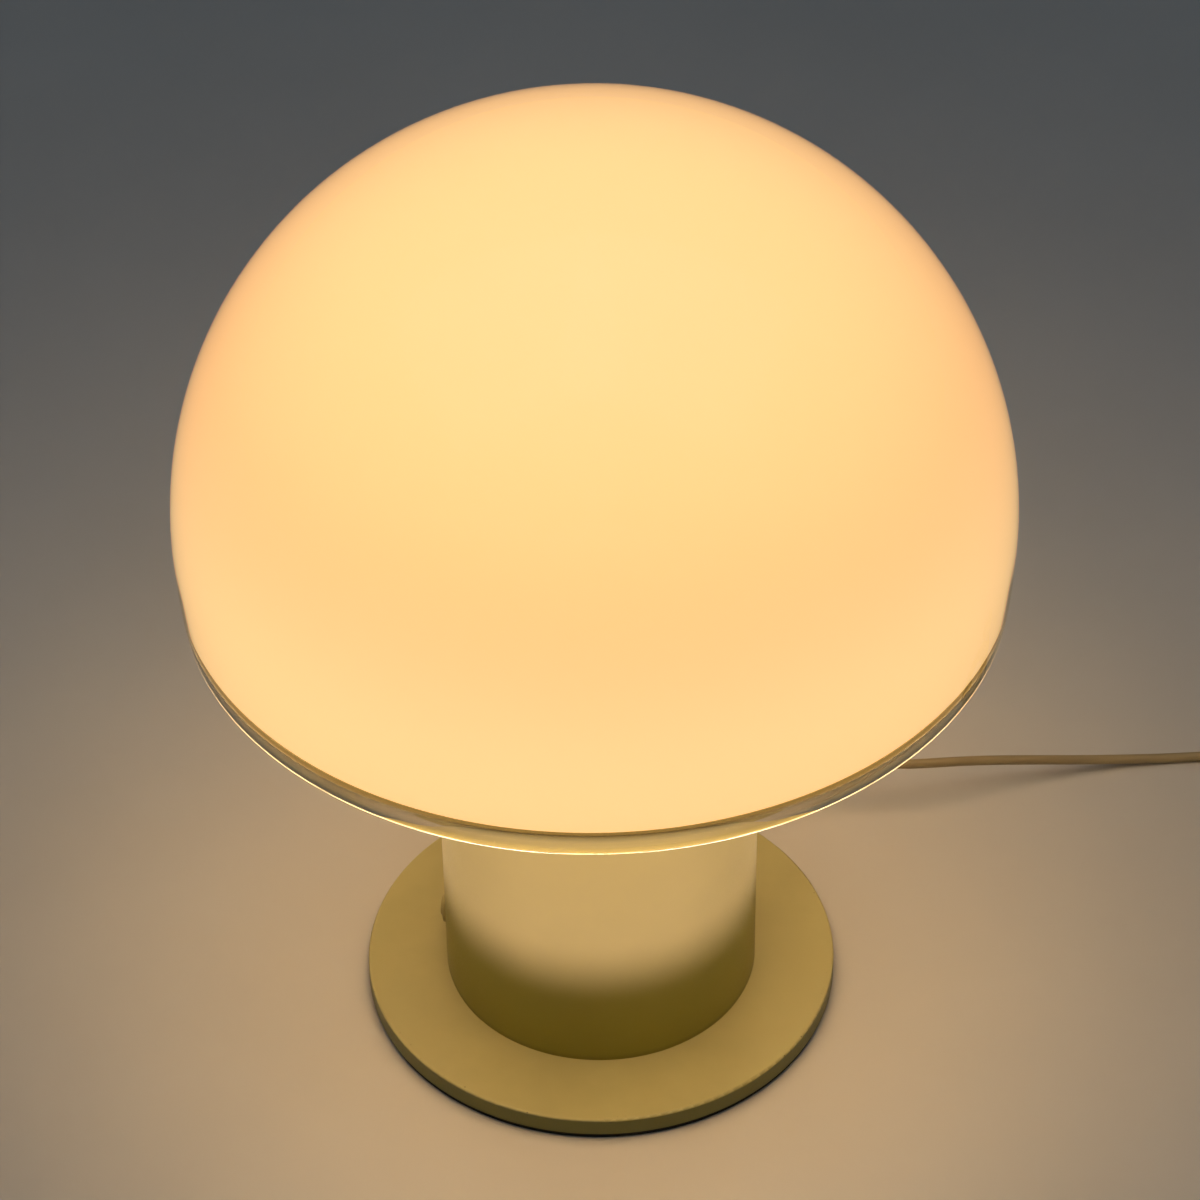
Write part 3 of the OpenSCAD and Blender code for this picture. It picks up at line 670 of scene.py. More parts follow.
@dataclass(frozen=True)
class ClearGlass(Finish):
    """Clear blown glass with slow waves and drawn streaks, painted darker where seen edge-on as shade and
    reflection of the dark room, and painted darker under the lining as shade.
    """

    streak: Colour = (0.97, 0.985, 0.975)
    streak_scale: Point = (9.0, 9.0, 900.0)
    # Painted shade: colour under the lining's edge, faded in between clear_to and dark_from.
    under_lining: Colour | None = None
    clear_to: float = 0.2635
    dark_from: float = 0.2690
    # Painted shade and reflection: colour of the glass seen edge-on, within edge_heights.
    edge_on: Colour = (0.03, 0.035, 0.022)
    edge_facing: Span = (0.85, 0.91)
    edge_heights: Span = (0.3000, 0.2830)
    wave_scale: float = 14.0
    wave_depth: float = 0.0006
    waves: float = 0.04
    ior: float = 1.5

    def draw(self, sheet: Sheet, shader: Node) -> None:
        """Draws the glass, its streaks, its waves, and the darker lines painted as shade and reflection.

        Args:
            sheet: The material's nodes.
            shader: Its Principled shader.
        """
        stretched = sheet.vectors("MULTIPLY", sheet.place(), self.streak_scale)
        drawn = sheet.spread(sheet.noise(1.0, detail=3.0, place=stretched), *STREAK_SPAN)
        # Painted shade and reflection: darker where the glass is seen edge-on, within a band of heights.
        aslant = sheet.spread(sheet.add("LayerWeight").outputs["Facing"], *self.edge_facing)
        low, high = self.edge_heights
        zone = sheet.effect(Effect.RISE, Low=low, High=high)["Rise"]
        streaked = sheet.mix(drawn, self.colour, self.streak)
        tint = sheet.mix(sheet.maths("MULTIPLY", aslant, zone), streaked, self.edge_on)
        # Painted shade under the lining's edge.
        if self.under_lining:
            dark = sheet.effect(Effect.RISE, Low=self.clear_to, High=self.dark_from)["Rise"]
            tint = sheet.mix(dark, tint, self.under_lining)
        wave = sheet.noise(self.wave_scale, detail=1.0)
        sheet.feed(
            shader, Transmission_Weight=1.0, IOR=self.ior, Base_Color=tint,
            Normal=sheet.bump(wave, strength=self.waves, depth=self.wave_depth),
        )


@dataclass(frozen=True)
class FrostedBulb(Finish):
    """Frosted bulb glass, bright round the middle of the globe and dimmer towards the neck."""

    colour: Colour = (0.9, 0.88, 0.82)
    roughness: float = 0.35
    grain_scale: float = 2200.0
    globe: Point = (0.0, 0.0, 0.0)
    core: float = 0.028
    reach: float = 0.066
    light: Colour = (1.0, 0.98, 0.78)
    neck_light: Colour = (0.30, 0.26, 0.175)
    strength: float = 7.4

    def draw(self, sheet: Sheet, shader: Node) -> None:
        """Draws the light on the bulb's glass.

        Args:
            sheet: The material's nodes.
            shader: Its Principled shader.
        """
        far = sheet.vectors("LENGTH", sheet.vectors("SUBTRACT", sheet.place(), self.globe))
        fall = sheet.spread(far, self.core, self.reach)
        sheet.feed(
            shader, Emission_Strength=self.strength,
            Emission_Color=sheet.mix(fall, self.light, self.neck_light),
            Normal=sheet.bump(sheet.noise(self.grain_scale), strength=0.3, depth=0.00004),
        )


@dataclass(frozen=True)
class PaleFloor(Finish):
    """Plain pale floor, faintly clouded."""

    cloud_scale: float = 2.2

    def draw(self, sheet: Sheet, shader: Node) -> None:
        """Draws the floor's clouds and sheen.

        Args:
            sheet: The material's nodes.
            shader: Its Principled shader.
        """
        cloud = self.grain(sheet)["Cloud"]
        sheet.feed(
            shader, Base_Color=self.clouded(sheet, cloud, low=0.96, high=1.03),
            Roughness=self.uneven(sheet, cloud, WHOLE, low=-0.04, high=0.04),
        )


LACQUER = Lacquer("cream_lacquer_worn_and_painted_light", (0.47, 0.43, 0.20), 0.42)
# Painted shade: the column's plastic is drawn darker and more saturated than the switch's same cream, for the
# shade on its foot.
COLUMN = GlowingPlastic("cream_plastic_painted_glow", (0.38, 0.335, 0.045), 0.38)
SWITCH = Plastic("cream_plastic_switch", (0.47, 0.41, 0.17), 0.36)
IVORY = Plastic("ivory_plastic_moulded", (0.66, 0.60, 0.42), 0.36)
SHEATH = Plastic("cord_sheath_soft", (0.38, 0.30, 0.16), 0.46, cloud_scale=18.0, dirt=0.35)
PHENOLIC = Plastic("dark_phenolic", (0.045, 0.032, 0.026), 0.3, cloud_scale=70.0, dirt=0.1)
STRAP = Plastic("black_strap", (0.02, 0.02, 0.02), 0.55, relief=0.0002, dirt=0.2)
INSULATOR = Plastic("black_glass_insulator", (0.012, 0.012, 0.014), 0.15, dirt=0.05)
PAD = Rubber("black_pad_rubber", (0.008, 0.008, 0.007), 0.9)
TIPS = Rubber("dark_tip_rubber", (0.03, 0.03, 0.03), 0.7)
STEEL = Metal("zinc_plated_steel", (0.56, 0.57, 0.58), 0.3)
TUBE = Metal("threaded_tube_steel", (0.56, 0.57, 0.58), 0.3, pitch=0.001)
BRASS = Metal("bright_brass", (0.72, 0.52, 0.22), 0.26)
ALUMINIUM = Metal("bulb_cap_aluminium", (0.72, 0.72, 0.72), 0.24)
OPAL = OpalGlass("opal_glass_lit", (0.86, 0.83, 0.76), 0.3)
SKIN = ClearGlass("clear_glass_skin", (0.97, 0.985, 0.975), 0.0, ior=1.2)
RIM = ClearGlass(
    "clear_glass_rim", (1.0, 0.995, 0.94), 0.0, streak=(0.94, 0.94, 0.83),
    under_lining=(0.10, 0.085, 0.022), edge_on=(0.55, 0.46, 0.22), edge_facing=(0.33, 0.50),
    edge_heights=(0.2575, 0.2600), waves=0.006,
)
FLOOR = PaleFloor("pale_floor", (0.63, 0.615, 0.60), 0.5)


# Modelling


def alone() -> None:
    """Leaves edit mode and clears the selection."""
    if bpy.context.object and bpy.context.object.mode != "OBJECT":
        bpy.ops.object.mode_set(mode="OBJECT")
    bpy.ops.object.select_all(action="DESELECT")


def only(piece: Piece) -> None:
    """Selects one piece and makes it active.

    Args:
        piece: The piece.
    """
    alone()
    piece.select_set(True)
    bpy.context.view_layer.objects.active = piece


def wire(name: str, points: list[Point]) -> Piece:
    """Draws a bent wire: a plane merged to one corner and extruded from point to point.

    Args:
        name: Name of the new piece.
        points: The wire's corners, in order.

    Returns:
        The new object, in edit mode.
    """
    alone()
    bpy.ops.mesh.primitive_plane_add(size=0.01)
    piece = bpy.context.object
    piece.name = piece.data.name = name
    bpy.ops.object.mode_set(mode="EDIT")
    bpy.ops.mesh.select_mode(type="VERT")
    bpy.ops.mesh.select_all(action="SELECT")
    bpy.ops.mesh.merge(type="CENTER")
    bpy.ops.transform.translate(value=points[0])
    for here, there in zip(points, points[1:]):
        bpy.ops.mesh.extrude_region_move(TRANSFORM_OT_translate={"value": Vector(there) - Vector(here)})
    return piece


def cleaned(piece: Piece, crease: float) -> Piece:
    """Merges doubles, turns the normals outwards, leaves edit mode and smooths all but sharp edges.

    Args:
        piece: The piece, in edit mode.
        crease: Angle in degrees over which an edge stays sharp.

    Returns:
        The same piece.
    """
    bpy.ops.mesh.select_all(action="SELECT")
    bpy.ops.mesh.remove_doubles(threshold=MERGE)
    bpy.ops.mesh.normals_make_consistent(inside=False)
    bpy.ops.object.mode_set(mode="OBJECT")
    bpy.ops.object.shade_smooth_by_angle(angle=math.radians(crease))
    return piece


def turned(name: str, outline: list[Ring], steps: int = 96, crease: float = 35.0) -> Piece:
    """Turns an outline round the Z axis, as on a lathe.

    Args:
        name: Name of the new piece.
        outline: Radius and height of each corner, in order.
        steps: Steps of the full turn.
        crease: Angle in degrees over which an edge stays sharp.

    Returns:
        The new object.
    """
    piece = wire(name, [(radius, 0.0, height) for radius, height in outline])
    bpy.ops.mesh.select_all(action="SELECT")
    bpy.ops.mesh.spin(steps=steps, angle=math.tau, center=(0.0, 0.0, 0.0), axis=(0.0, 0.0, 1.0))
    return cleaned(piece, crease)


def bent(name: str, *routes: list[Point], radius: float, sides: int, steps: int) -> Piece:
    """Bends round strands along smooth routes, as one curve.

    Args:
        name: Name of the new piece.
        routes: The points of each strand.
        radius: Radius of a strand.
        sides: Blender's bevel resolution, which sets how round it is.
        steps: Steps between two points of a route.

    Returns:
        The new curve.
    """
    data = bpy.data.curves.new(name, "CURVE")
    data.dimensions = "3D"
    data.bevel_depth = radius
    data.bevel_resolution = sides
    data.resolution_u = steps
    data.use_fill_caps = True
    for route in routes:
        spline = data.splines.new("BEZIER")
        spline.bezier_points.add(len(route) - 1)
        for knot, point in zip(spline.bezier_points, route):
            knot.co = point
            knot.handle_left_type = knot.handle_right_type = "AUTO"
    piece = bpy.data.objects.new(name, data)
    bpy.context.scene.collection.objects.link(piece)
    return piece


def settled(piece: Piece, place: Point, turn: Point) -> Piece:
    """Puts a finished piece in its place and applies that to its mesh.

    Args:
        piece: The piece, modelled at the origin.
        place: Where its origin goes.
        turn: Its turn in degrees about X, Y and Z.

    Returns:
        The same piece.
    """
    only(piece)
    piece.location = place
    piece.rotation_euler = [math.radians(angle) for angle in turn]
    bpy.ops.object.transform_apply(location=True, rotation=True, scale=True)
    return piece


def modified(piece: Piece, kind: str, **settings: object) -> None:
    """Adds a modifier and applies it.

    Args:
        piece: The piece.
        kind: The modifier's type.
        settings: Its properties.
    """
    only(piece)
    bpy.ops.object.modifier_add(type=kind)
    modifier = piece.modifiers[-1]
    for name, value in settings.items():
        setattr(modifier, name, value)
    bpy.ops.object.modifier_apply(modifier=modifier.name)


def joined(name: str, *pieces: Piece) -> Piece:
    """Joins pieces into one.

    Args:
        name: Name of the joined piece.
        pieces: The pieces, of which the first takes up the others.

    Returns:
        The joined piece.
    """
    only(pieces[0])
    for piece in pieces[1:]:
        piece.select_set(True)
    bpy.ops.object.join()
    pieces[0].name = pieces[0].data.name = name
    return pieces[0]


def dressed(piece: Piece, finish: Finish, body: Body, slot: str, *nodes: str) -> None:
    """Gives a new piece its finish, its body and the nodes that it stands for.

    Args:
        piece: The new piece.
        finish: Its finish; a piece that already has materials keeps them.
        body: The body that it moves with.
        slot: Name of the piece's material slot; not used.
        nodes: The nodes that it replaces.
    """
    if not piece.data.materials:
        piece.data.materials.append(finish.material())
    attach(piece, body.value)
    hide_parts(*nodes)
    LOG.info("%s stands for %s", piece.name, ", ".join(nodes))


def carried(finish: Finish, *nodes: str) -> None:
    """Gives carried nodes a finish.

    Args:
        finish: The finish.
        nodes: Names of the nodes.
    """
    for node in nodes:
        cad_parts[node].data.materials[0] = finish.material()
        LOG.info("%s is finished in %s", node, finish.name)


# The studio


@dataclass
class Studio:
    """Camera, floor and soft light."""

    lens: float = 120.0
    eye: Point = (0.0019, -1.400, 1.4225)
    pitch: float = 40.24
    roll: float = -0.8
    floor_size: float = 12.0
    sky: Colour = (0.62, 0.86, 1.0)
    sky_strength: float = 0.04
    sensor: float = 36.0
    view_reach: float = 100.0
    box_place: Point = (0.65, -0.12, 2.2)
    box_aim: Point = (0.0, 0.0, 0.25)
    box_size: float = 1.8
    box_power: float = 3.75
    box_colour: Colour = (0.77, 0.885, 1.0)

    def build_camera(self) -> None:
        """Makes the camera, which looks down at the lamp."""
        data = bpy.data.cameras.new("camera")
        data.lens = self.lens
        data.sensor_width = self.sensor
        data.clip_end = self.view_reach
        camera = bpy.data.objects.new("camera", data)
        camera.location = self.eye
        camera.rotation_mode = "ZYX"
        camera.rotation_euler = (math.radians(90.0 - self.pitch), 0.0, math.radians(self.roll))
        bpy.context.scene.collection.objects.link(camera)
        bpy.context.scene.camera = camera

    def build_floor(self) -> None:
        """Lays the floor."""
        alone()
        bpy.ops.mesh.primitive_grid_add(x_subdivisions=8, y_subdivisions=8, size=self.floor_size)
        floor = bpy.context.object
        floor.name = "floor"
        floor.data.materials.append(FLOOR.material())

    def build_light(self) -> None:
        """Hangs the soft lamps and sets the dim sky."""
        world = bpy.data.worlds.new("studio")
        world.use_nodes = True
        background = world.node_tree.nodes["Background"]
        background.inputs["Color"].default_value = (*self.sky, 1.0)
        background.inputs["Strength"].default_value = self.sky_strength
        bpy.context.scene.world = world
        for side in Side:
            self.hang_box(side)

    def hang_box(self, side: Side) -> None:
        """Hangs the soft box of one side, facing the lamp.

        Args:
            side: The side.
        """
        name = f"overhead_{side.word}"
        data = bpy.data.lights.new(name, "AREA")
        data.shape = "SQUARE"
        data.size = self.box_size
        data.energy = self.box_power
        data.color = self.box_colour
        box = bpy.data.objects.new(name, data)
        out, deep, high = self.box_place
        box.location = (side.value * out, deep, high)
        facing = Vector(self.box_aim) - box.location
        box.rotation_euler = facing.to_track_quat("-Z", "Y").to_euler()
        bpy.context.scene.collection.objects.link(box)

    def settle_view(self) -> None:
        """Sets the plain view transform."""
        bpy.context.scene.view_settings.view_transform = "Standard"


# The lamp


@dataclass
class MainsCord:
    """Mains cord: out of its bush low at the back, down to the floor on the right, and wound into a coil."""

    diameter: float = 0.005
    bush_turn: float = 60.0
    bush_height: float = 0.0375
    bush_end: float = 0.104
    seat: float = 0.010
    coil_x: float = 0.364
    coil_y: float = 0.105
    coil_z: float = 0.0034
    coil_inner: float = 0.021
    coil_step: float = 0.0056
    coil_turns: int = 7
    rings: int = 24
    lead_in: float = 0.012
    plug_x: float = 0.382
    run: tuple[Point, ...] = (
        (57.5, 98.6, 37.3), (63.5, 106, 36.7), (72.5, 111.5, 35.8), (84, 114, 34.7), (98, 114.6, 33.3),
        (113, 114.4, 31.6), (129, 114.2, 29.8), (145, 114.6, 28), (161, 116, 26.1), (176, 119.5, 23.6),
        (191, 123.6, 20.6), (206, 127.4, 17.4), (221, 130.8, 14.2), (236, 133.8, 11.2), (251, 136.6, 8.4),
        (266, 139.1, 6), (281, 141.2, 4.2), (296, 142.8, 3), (311, 143.9, 2.7), (326, 144.7, 2.7),
        (341, 145.3, 3),
    )

    @property
    def coil_side(self) -> float:
        """Where the coil's outer turns run beside the plug, in Y."""
        return self.coil_y + self.coil_inner + self.coil_step * self.coil_turns / 2

    @property
    def end(self) -> Point:
        """Where the cord meets its plug."""
        return (self.plug_x, self.coil_side, self.coil_z + self.coil_step)

    def coil_point(self, turns: float) -> Point:
        """A point of the coil, which is wound inwards, climbs a layer and is wound outwards.

        Args:
            turns: The turns wound so far.

        Returns:
            The point.
        """
        half = self.coil_turns / 2
        climb = min(1.0, max(0.0, 2.0 * (turns - half) + 0.5))
        radius = self.coil_inner + self.coil_step * abs(turns - half)
        angle = math.radians(90.0 - 360.0 * turns)
        rise = self.coil_step * climb * climb * (3.0 - 2.0 * climb)
        x, y = self.coil_x + radius * math.cos(angle), self.coil_y + radius * math.sin(angle)
        return (x, y, self.coil_z + rise)

    def route(self) -> list[Point]:
        """The middle line of the cord, from inside its bush to its plug.

        Returns:
            Its points.
        """
        turn = math.radians(self.bush_turn)
        ends = (self.bush_end - self.seat, self.bush_end)
        start = [(out * math.cos(turn), out * math.sin(turn), self.bush_height) for out in ends]
        run = [tuple(part / 1000 for part in point) for point in self.run]
        lead = [(self.coil_x - back, self.coil_side, self.coil_z) for back in (self.lead_in, self.diameter)]
        coil = [self.coil_point(i / self.rings) for i in range(self.coil_turns * self.rings + 1)]
        return start + run + lead + coil + [self.end]

    def build(self) -> None:
        """Makes the cord as one curve."""
        route = self.route()
        cord = bent("mains_cord", route, radius=self.diameter / 2, sides=5, steps=4)
        dressed(cord, SHEATH, Body.STAND, "cord_sheath", "power_cord", "cord_coil")


@dataclass
class Plug:
    """Flat two-pin plug with a ringed strain relief, and the strap round the coil."""

    cord: MainsCord
    relief: float = 0.012
    length: float = 0.036
    width: float = 0.035
    neck: float = 0.017
    thickness: float = 0.017
    corner: float = 0.004
    bevel: float = 0.0016
    relief_rings: int = 4
    relief_bore: float = 0.0026
    relief_radius: float = 0.0033
    relief_taper: float = 0.0012
    relief_groove: float = 0.0006
    ring_share: Span = (0.15, 0.85)
    strap_near: float = 0.0183
    strap_far: float = 0.0433
    strap_low: float = 0.0007
    strap_high: float = 0.0117
    strap_width: float = 0.008
    strap_thickness: float = 0.0005
    strap_ease: float = 0.0018
    strap_bevel: float = 0.00012
    strap_steps: int = 5

    def build_body(self) -> Piece:
        """Shapes the plug's body from a cube: tapered, then rounded.

        Returns:
            The body, with its neck at the origin.
        """
        alone()
        bpy.ops.mesh.primitive_cube_add(size=1.0)
        body = bpy.context.object
        bpy.ops.object.mode_set(mode="EDIT")
        bpy.ops.transform.resize(value=(self.length, self.width, self.thickness))
        bpy.ops.transform.translate(value=(self.length / 2, 0.0, 0.0))
        self.pick_edges(body, lambda a, b: max(a.x, b.x) < NEAR)
        bpy.ops.transform.resize(value=(1.0, self.neck / self.width, 1.0), center_override=(0.0, 0.0, 0.0))
        self.pick_edges(body, lambda a, b: abs(a.z - b.z) > self.thickness - NEAR)
        bpy.ops.mesh.bevel(offset=self.corner, segments=6, affect="EDGES")
        level = self.thickness / 2
        self.pick_edges(body, lambda a, b: abs(abs(a.z) - level) < NEAR and abs(a.z - b.z) < NEAR)
        bpy.ops.mesh.bevel(offset=self.bevel, segments=4, affect="EDGES")
        return cleaned(body, crease=40.0)

    @staticmethod
    def pick_edges(piece: Piece, wanted: Callable[[Vector, Vector], bool]) -> None:
        """Selects the edges whose two ends pass a test, in edit mode.

        Args:
            piece: The piece.
            wanted: Test on the places of an edge's two ends.
        """
        bpy.ops.mesh.select_all(action="DESELECT")
        bpy.ops.mesh.select_mode(type="EDGE")
        bpy.ops.object.mode_set(mode="OBJECT")
        corners = piece.data.vertices
        for edge in piece.data.edges:
            first, last = (corners[i].co for i in edge.vertices)
            edge.select = wanted(first, last)
        bpy.ops.object.mode_set(mode="EDIT")

    def build_relief(self) -> Piece:
        """Turns the ringed relief round the cord.

        Returns:
            The relief, with its broad end in the plug's body.
        """
        outline = [(self.relief_bore, 0.0)]
        count = 2 * self.relief_rings
        step = (self.relief + self.corner) / count
        for i in range(count):
            groove = self.relief_groove if i % 2 else 0.0
            radius = self.relief_radius + self.relief_taper * i / count - groove
            outline += [(radius, (i + share) * step) for share in self.ring_share]
        outline.append((self.relief_bore, self.relief + self.corner))
        return settled(turned("relief", outline, steps=40), (-self.relief, 0.0, 0.0), (0.0, 90.0, 0.0))

    def build(self) -> None:
        """Makes the plug's shell in its place."""
        shell = joined("plug_shell", self.build_body(), self.build_relief())
        tip_x, middle_y, middle_z = self.cord.end
        settled(shell, (tip_x + self.relief, middle_y, middle_z), (0.0, 0.0, 0.0))
        dressed(shell, IVORY, Body.STAND, "ivory_plastic", "plug_body")
        carried(STEEL, "plug_pins")

    def build_strap(self) -> None:
        """Bends the strap round the turns of the coil."""
        ease = self.strap_ease
        corners = [
            (self.strap_near, self.strap_low, 180.0), (self.strap_far, self.strap_low, 270.0),
            (self.strap_far, self.strap_high, 0.0), (self.strap_near, self.strap_high, 90.0),
        ]
        loop = []
        for x, z, first in corners:
            middle_x = x + (ease if x == self.strap_near else -ease)
            middle_z = z + (ease if z == self.strap_low else -ease)
            for i in range(self.strap_steps + 1):
                angle = math.radians(first + 90.0 * i / self.strap_steps)
                x_at, z_at = middle_x + ease * math.cos(angle), middle_z + ease * math.sin(angle)
                loop.append((x_at, -self.strap_width / 2, z_at))
        strap = wire("coil_strap", loop + loop[:1])
        bpy.ops.mesh.select_all(action="SELECT")
        bpy.ops.mesh.extrude_region_move(TRANSFORM_OT_translate={"value": (0.0, self.strap_width, 0.0)})
        cleaned(strap, crease=50.0)
        modified(strap, "SOLIDIFY", thickness=self.strap_thickness, offset=1.0)
        modified(strap, "BEVEL", width=self.strap_bevel, segments=2, limit_method="ANGLE")
        settled(strap, (self.cord.coil_x, self.cord.coil_y, 0.0), (0.0, 0.0, -90.0))
        dressed(strap, STRAP, Body.STAND, "black_tie", "cord_tie")


@dataclass
class Shade:
    """Dome of clear glass with an opal lining that stops short of the rim."""

    radius: float = 0.190
    clear: float = 0.0020
    glass: float = 0.0046
    wall: float = 0.036
    inturn: float = 0.002
    rim_top: float = 0.2695
    lip_round: float = 0.00293
    bead_radius: float = 0.025
    bead_z: float = 0.2612
    lap: float = 0.00012
    dome_rings: int = 48
    wall_rings: int = 8
    bead_rings: int = 24
    lip_rings: int = 20
    turns: int = 240
    crease: float = 50.0

    @property
    def lip_z(self) -> float:
        """Height of the lip."""
        return DOME_Z - self.wall

    @property
    def arc(self) -> float:
        """Radius of the wall's upright curve under the dome."""
        return (self.wall**2 + self.inturn**2) / (2 * self.inturn)

    def side_at(self, height: float, depth: float) -> float:
        """Radius of the wall under the dome.

        Args:
            height: Height of the point.
            depth: How deep in the glass it is.

        Returns:
            Its distance from the axis.
        """
        return self.radius - self.arc + math.sqrt((self.arc - depth) ** 2 - (DOME_Z - height) ** 2)

    def lip(self) -> list[Ring]:
        """The half round under the rim, from the outer side to the inner one.

        Returns:
            Radius and height of each point.
        """
        out = self.side_at(self.lip_z + self.lip_round, 0.0) - self.lip_round
        angles = [math.pi * i / self.lip_rings for i in range(self.lip_rings + 1)]
        low = self.lip_z + self.lip_round
        return [(out + self.lip_round * math.cos(a), low - self.lip_round * math.sin(a)) for a in angles]

    def bead(self) -> list[Ring]:
        """The swollen inner side of the rim, from the lip up to the lining.

        Returns:
            Radius and height of each point.
        """
        swell = self.swell_at(self.rim_top)
        low = self.lip_z + self.lip_round
        heights = [low + (self.rim_top - low) * (i + 1) / self.bead_rings for i in range(self.bead_rings)]
        depths = [self.glass + swell - self.swell_at(height) for height in heights]
        return [(self.side_at(height, depth), height) for height, depth in zip(heights, depths)]

    def swell_at(self, height: float) -> float:
        """How far the bead has fallen back from its thickest line, by height."""
        return self.bead_radius - math.sqrt(self.bead_radius**2 - (height - self.bead_z) ** 2)

    def skin(self, depth: float, foot: float) -> list[Ring]:
        """A line through the glass from the crown down to a foot.

        Args:
            depth: How deep in the glass the line runs.
            foot: Height of its lower end.

        Returns:
            Radius and height of each point.
        """
        ball = self.radius - depth
        angles = [math.pi / 2 * i / self.dome_rings for i in range(self.dome_rings)]
        dome = [(ball * math.sin(a), DOME_Z + ball * math.cos(a)) for a in angles]
        drop = (foot - DOME_Z) / self.wall_rings
        heights = [DOME_Z + drop * i for i in range(self.wall_rings + 1)]
        return dome + [(self.side_at(height, depth), height) for height in heights]

    def build_casing(self) -> None:
        """Turns the clear casing: a skin over the lining, and the rim, which is rolled into a bead."""
        outer = self.skin(0.0, self.lip_z + self.lip_round)[:-1]
        inner = self.skin(self.clear, self.rim_top)
        outline = outer + self.lip() + self.bead() + inner[::-1]
        casing = turned("clear_casing", outline, self.turns, self.crease)
        casing.data.materials.append(SKIN.material())
        casing.data.materials.append(RIM.material())
        for face in casing.data.polygons:
            face.material_index = int(face.center.z < self.rim_top + self.lap)
        casing.visible_shadow = False
        dressed(casing, SKIN, Body.SHADE, "clear_glass", "shade_clear")

    def build_lining(self) -> None:
        """Turns the opal lining, which is fused into the casing."""
        foot = self.rim_top - self.lap
        outer = self.skin(self.clear - self.lap, foot)
        inner = self.skin(self.glass, foot)
        lining = turned("opal_lining", outer + inner[::-1], self.turns, self.crease)
        dressed(lining, OPAL, Body.SHADE, "opal_glass", "shade_opal")

    def build(self) -> None:
        """Makes the two layers of glass."""
        self.build_casing()
        self.build_lining()


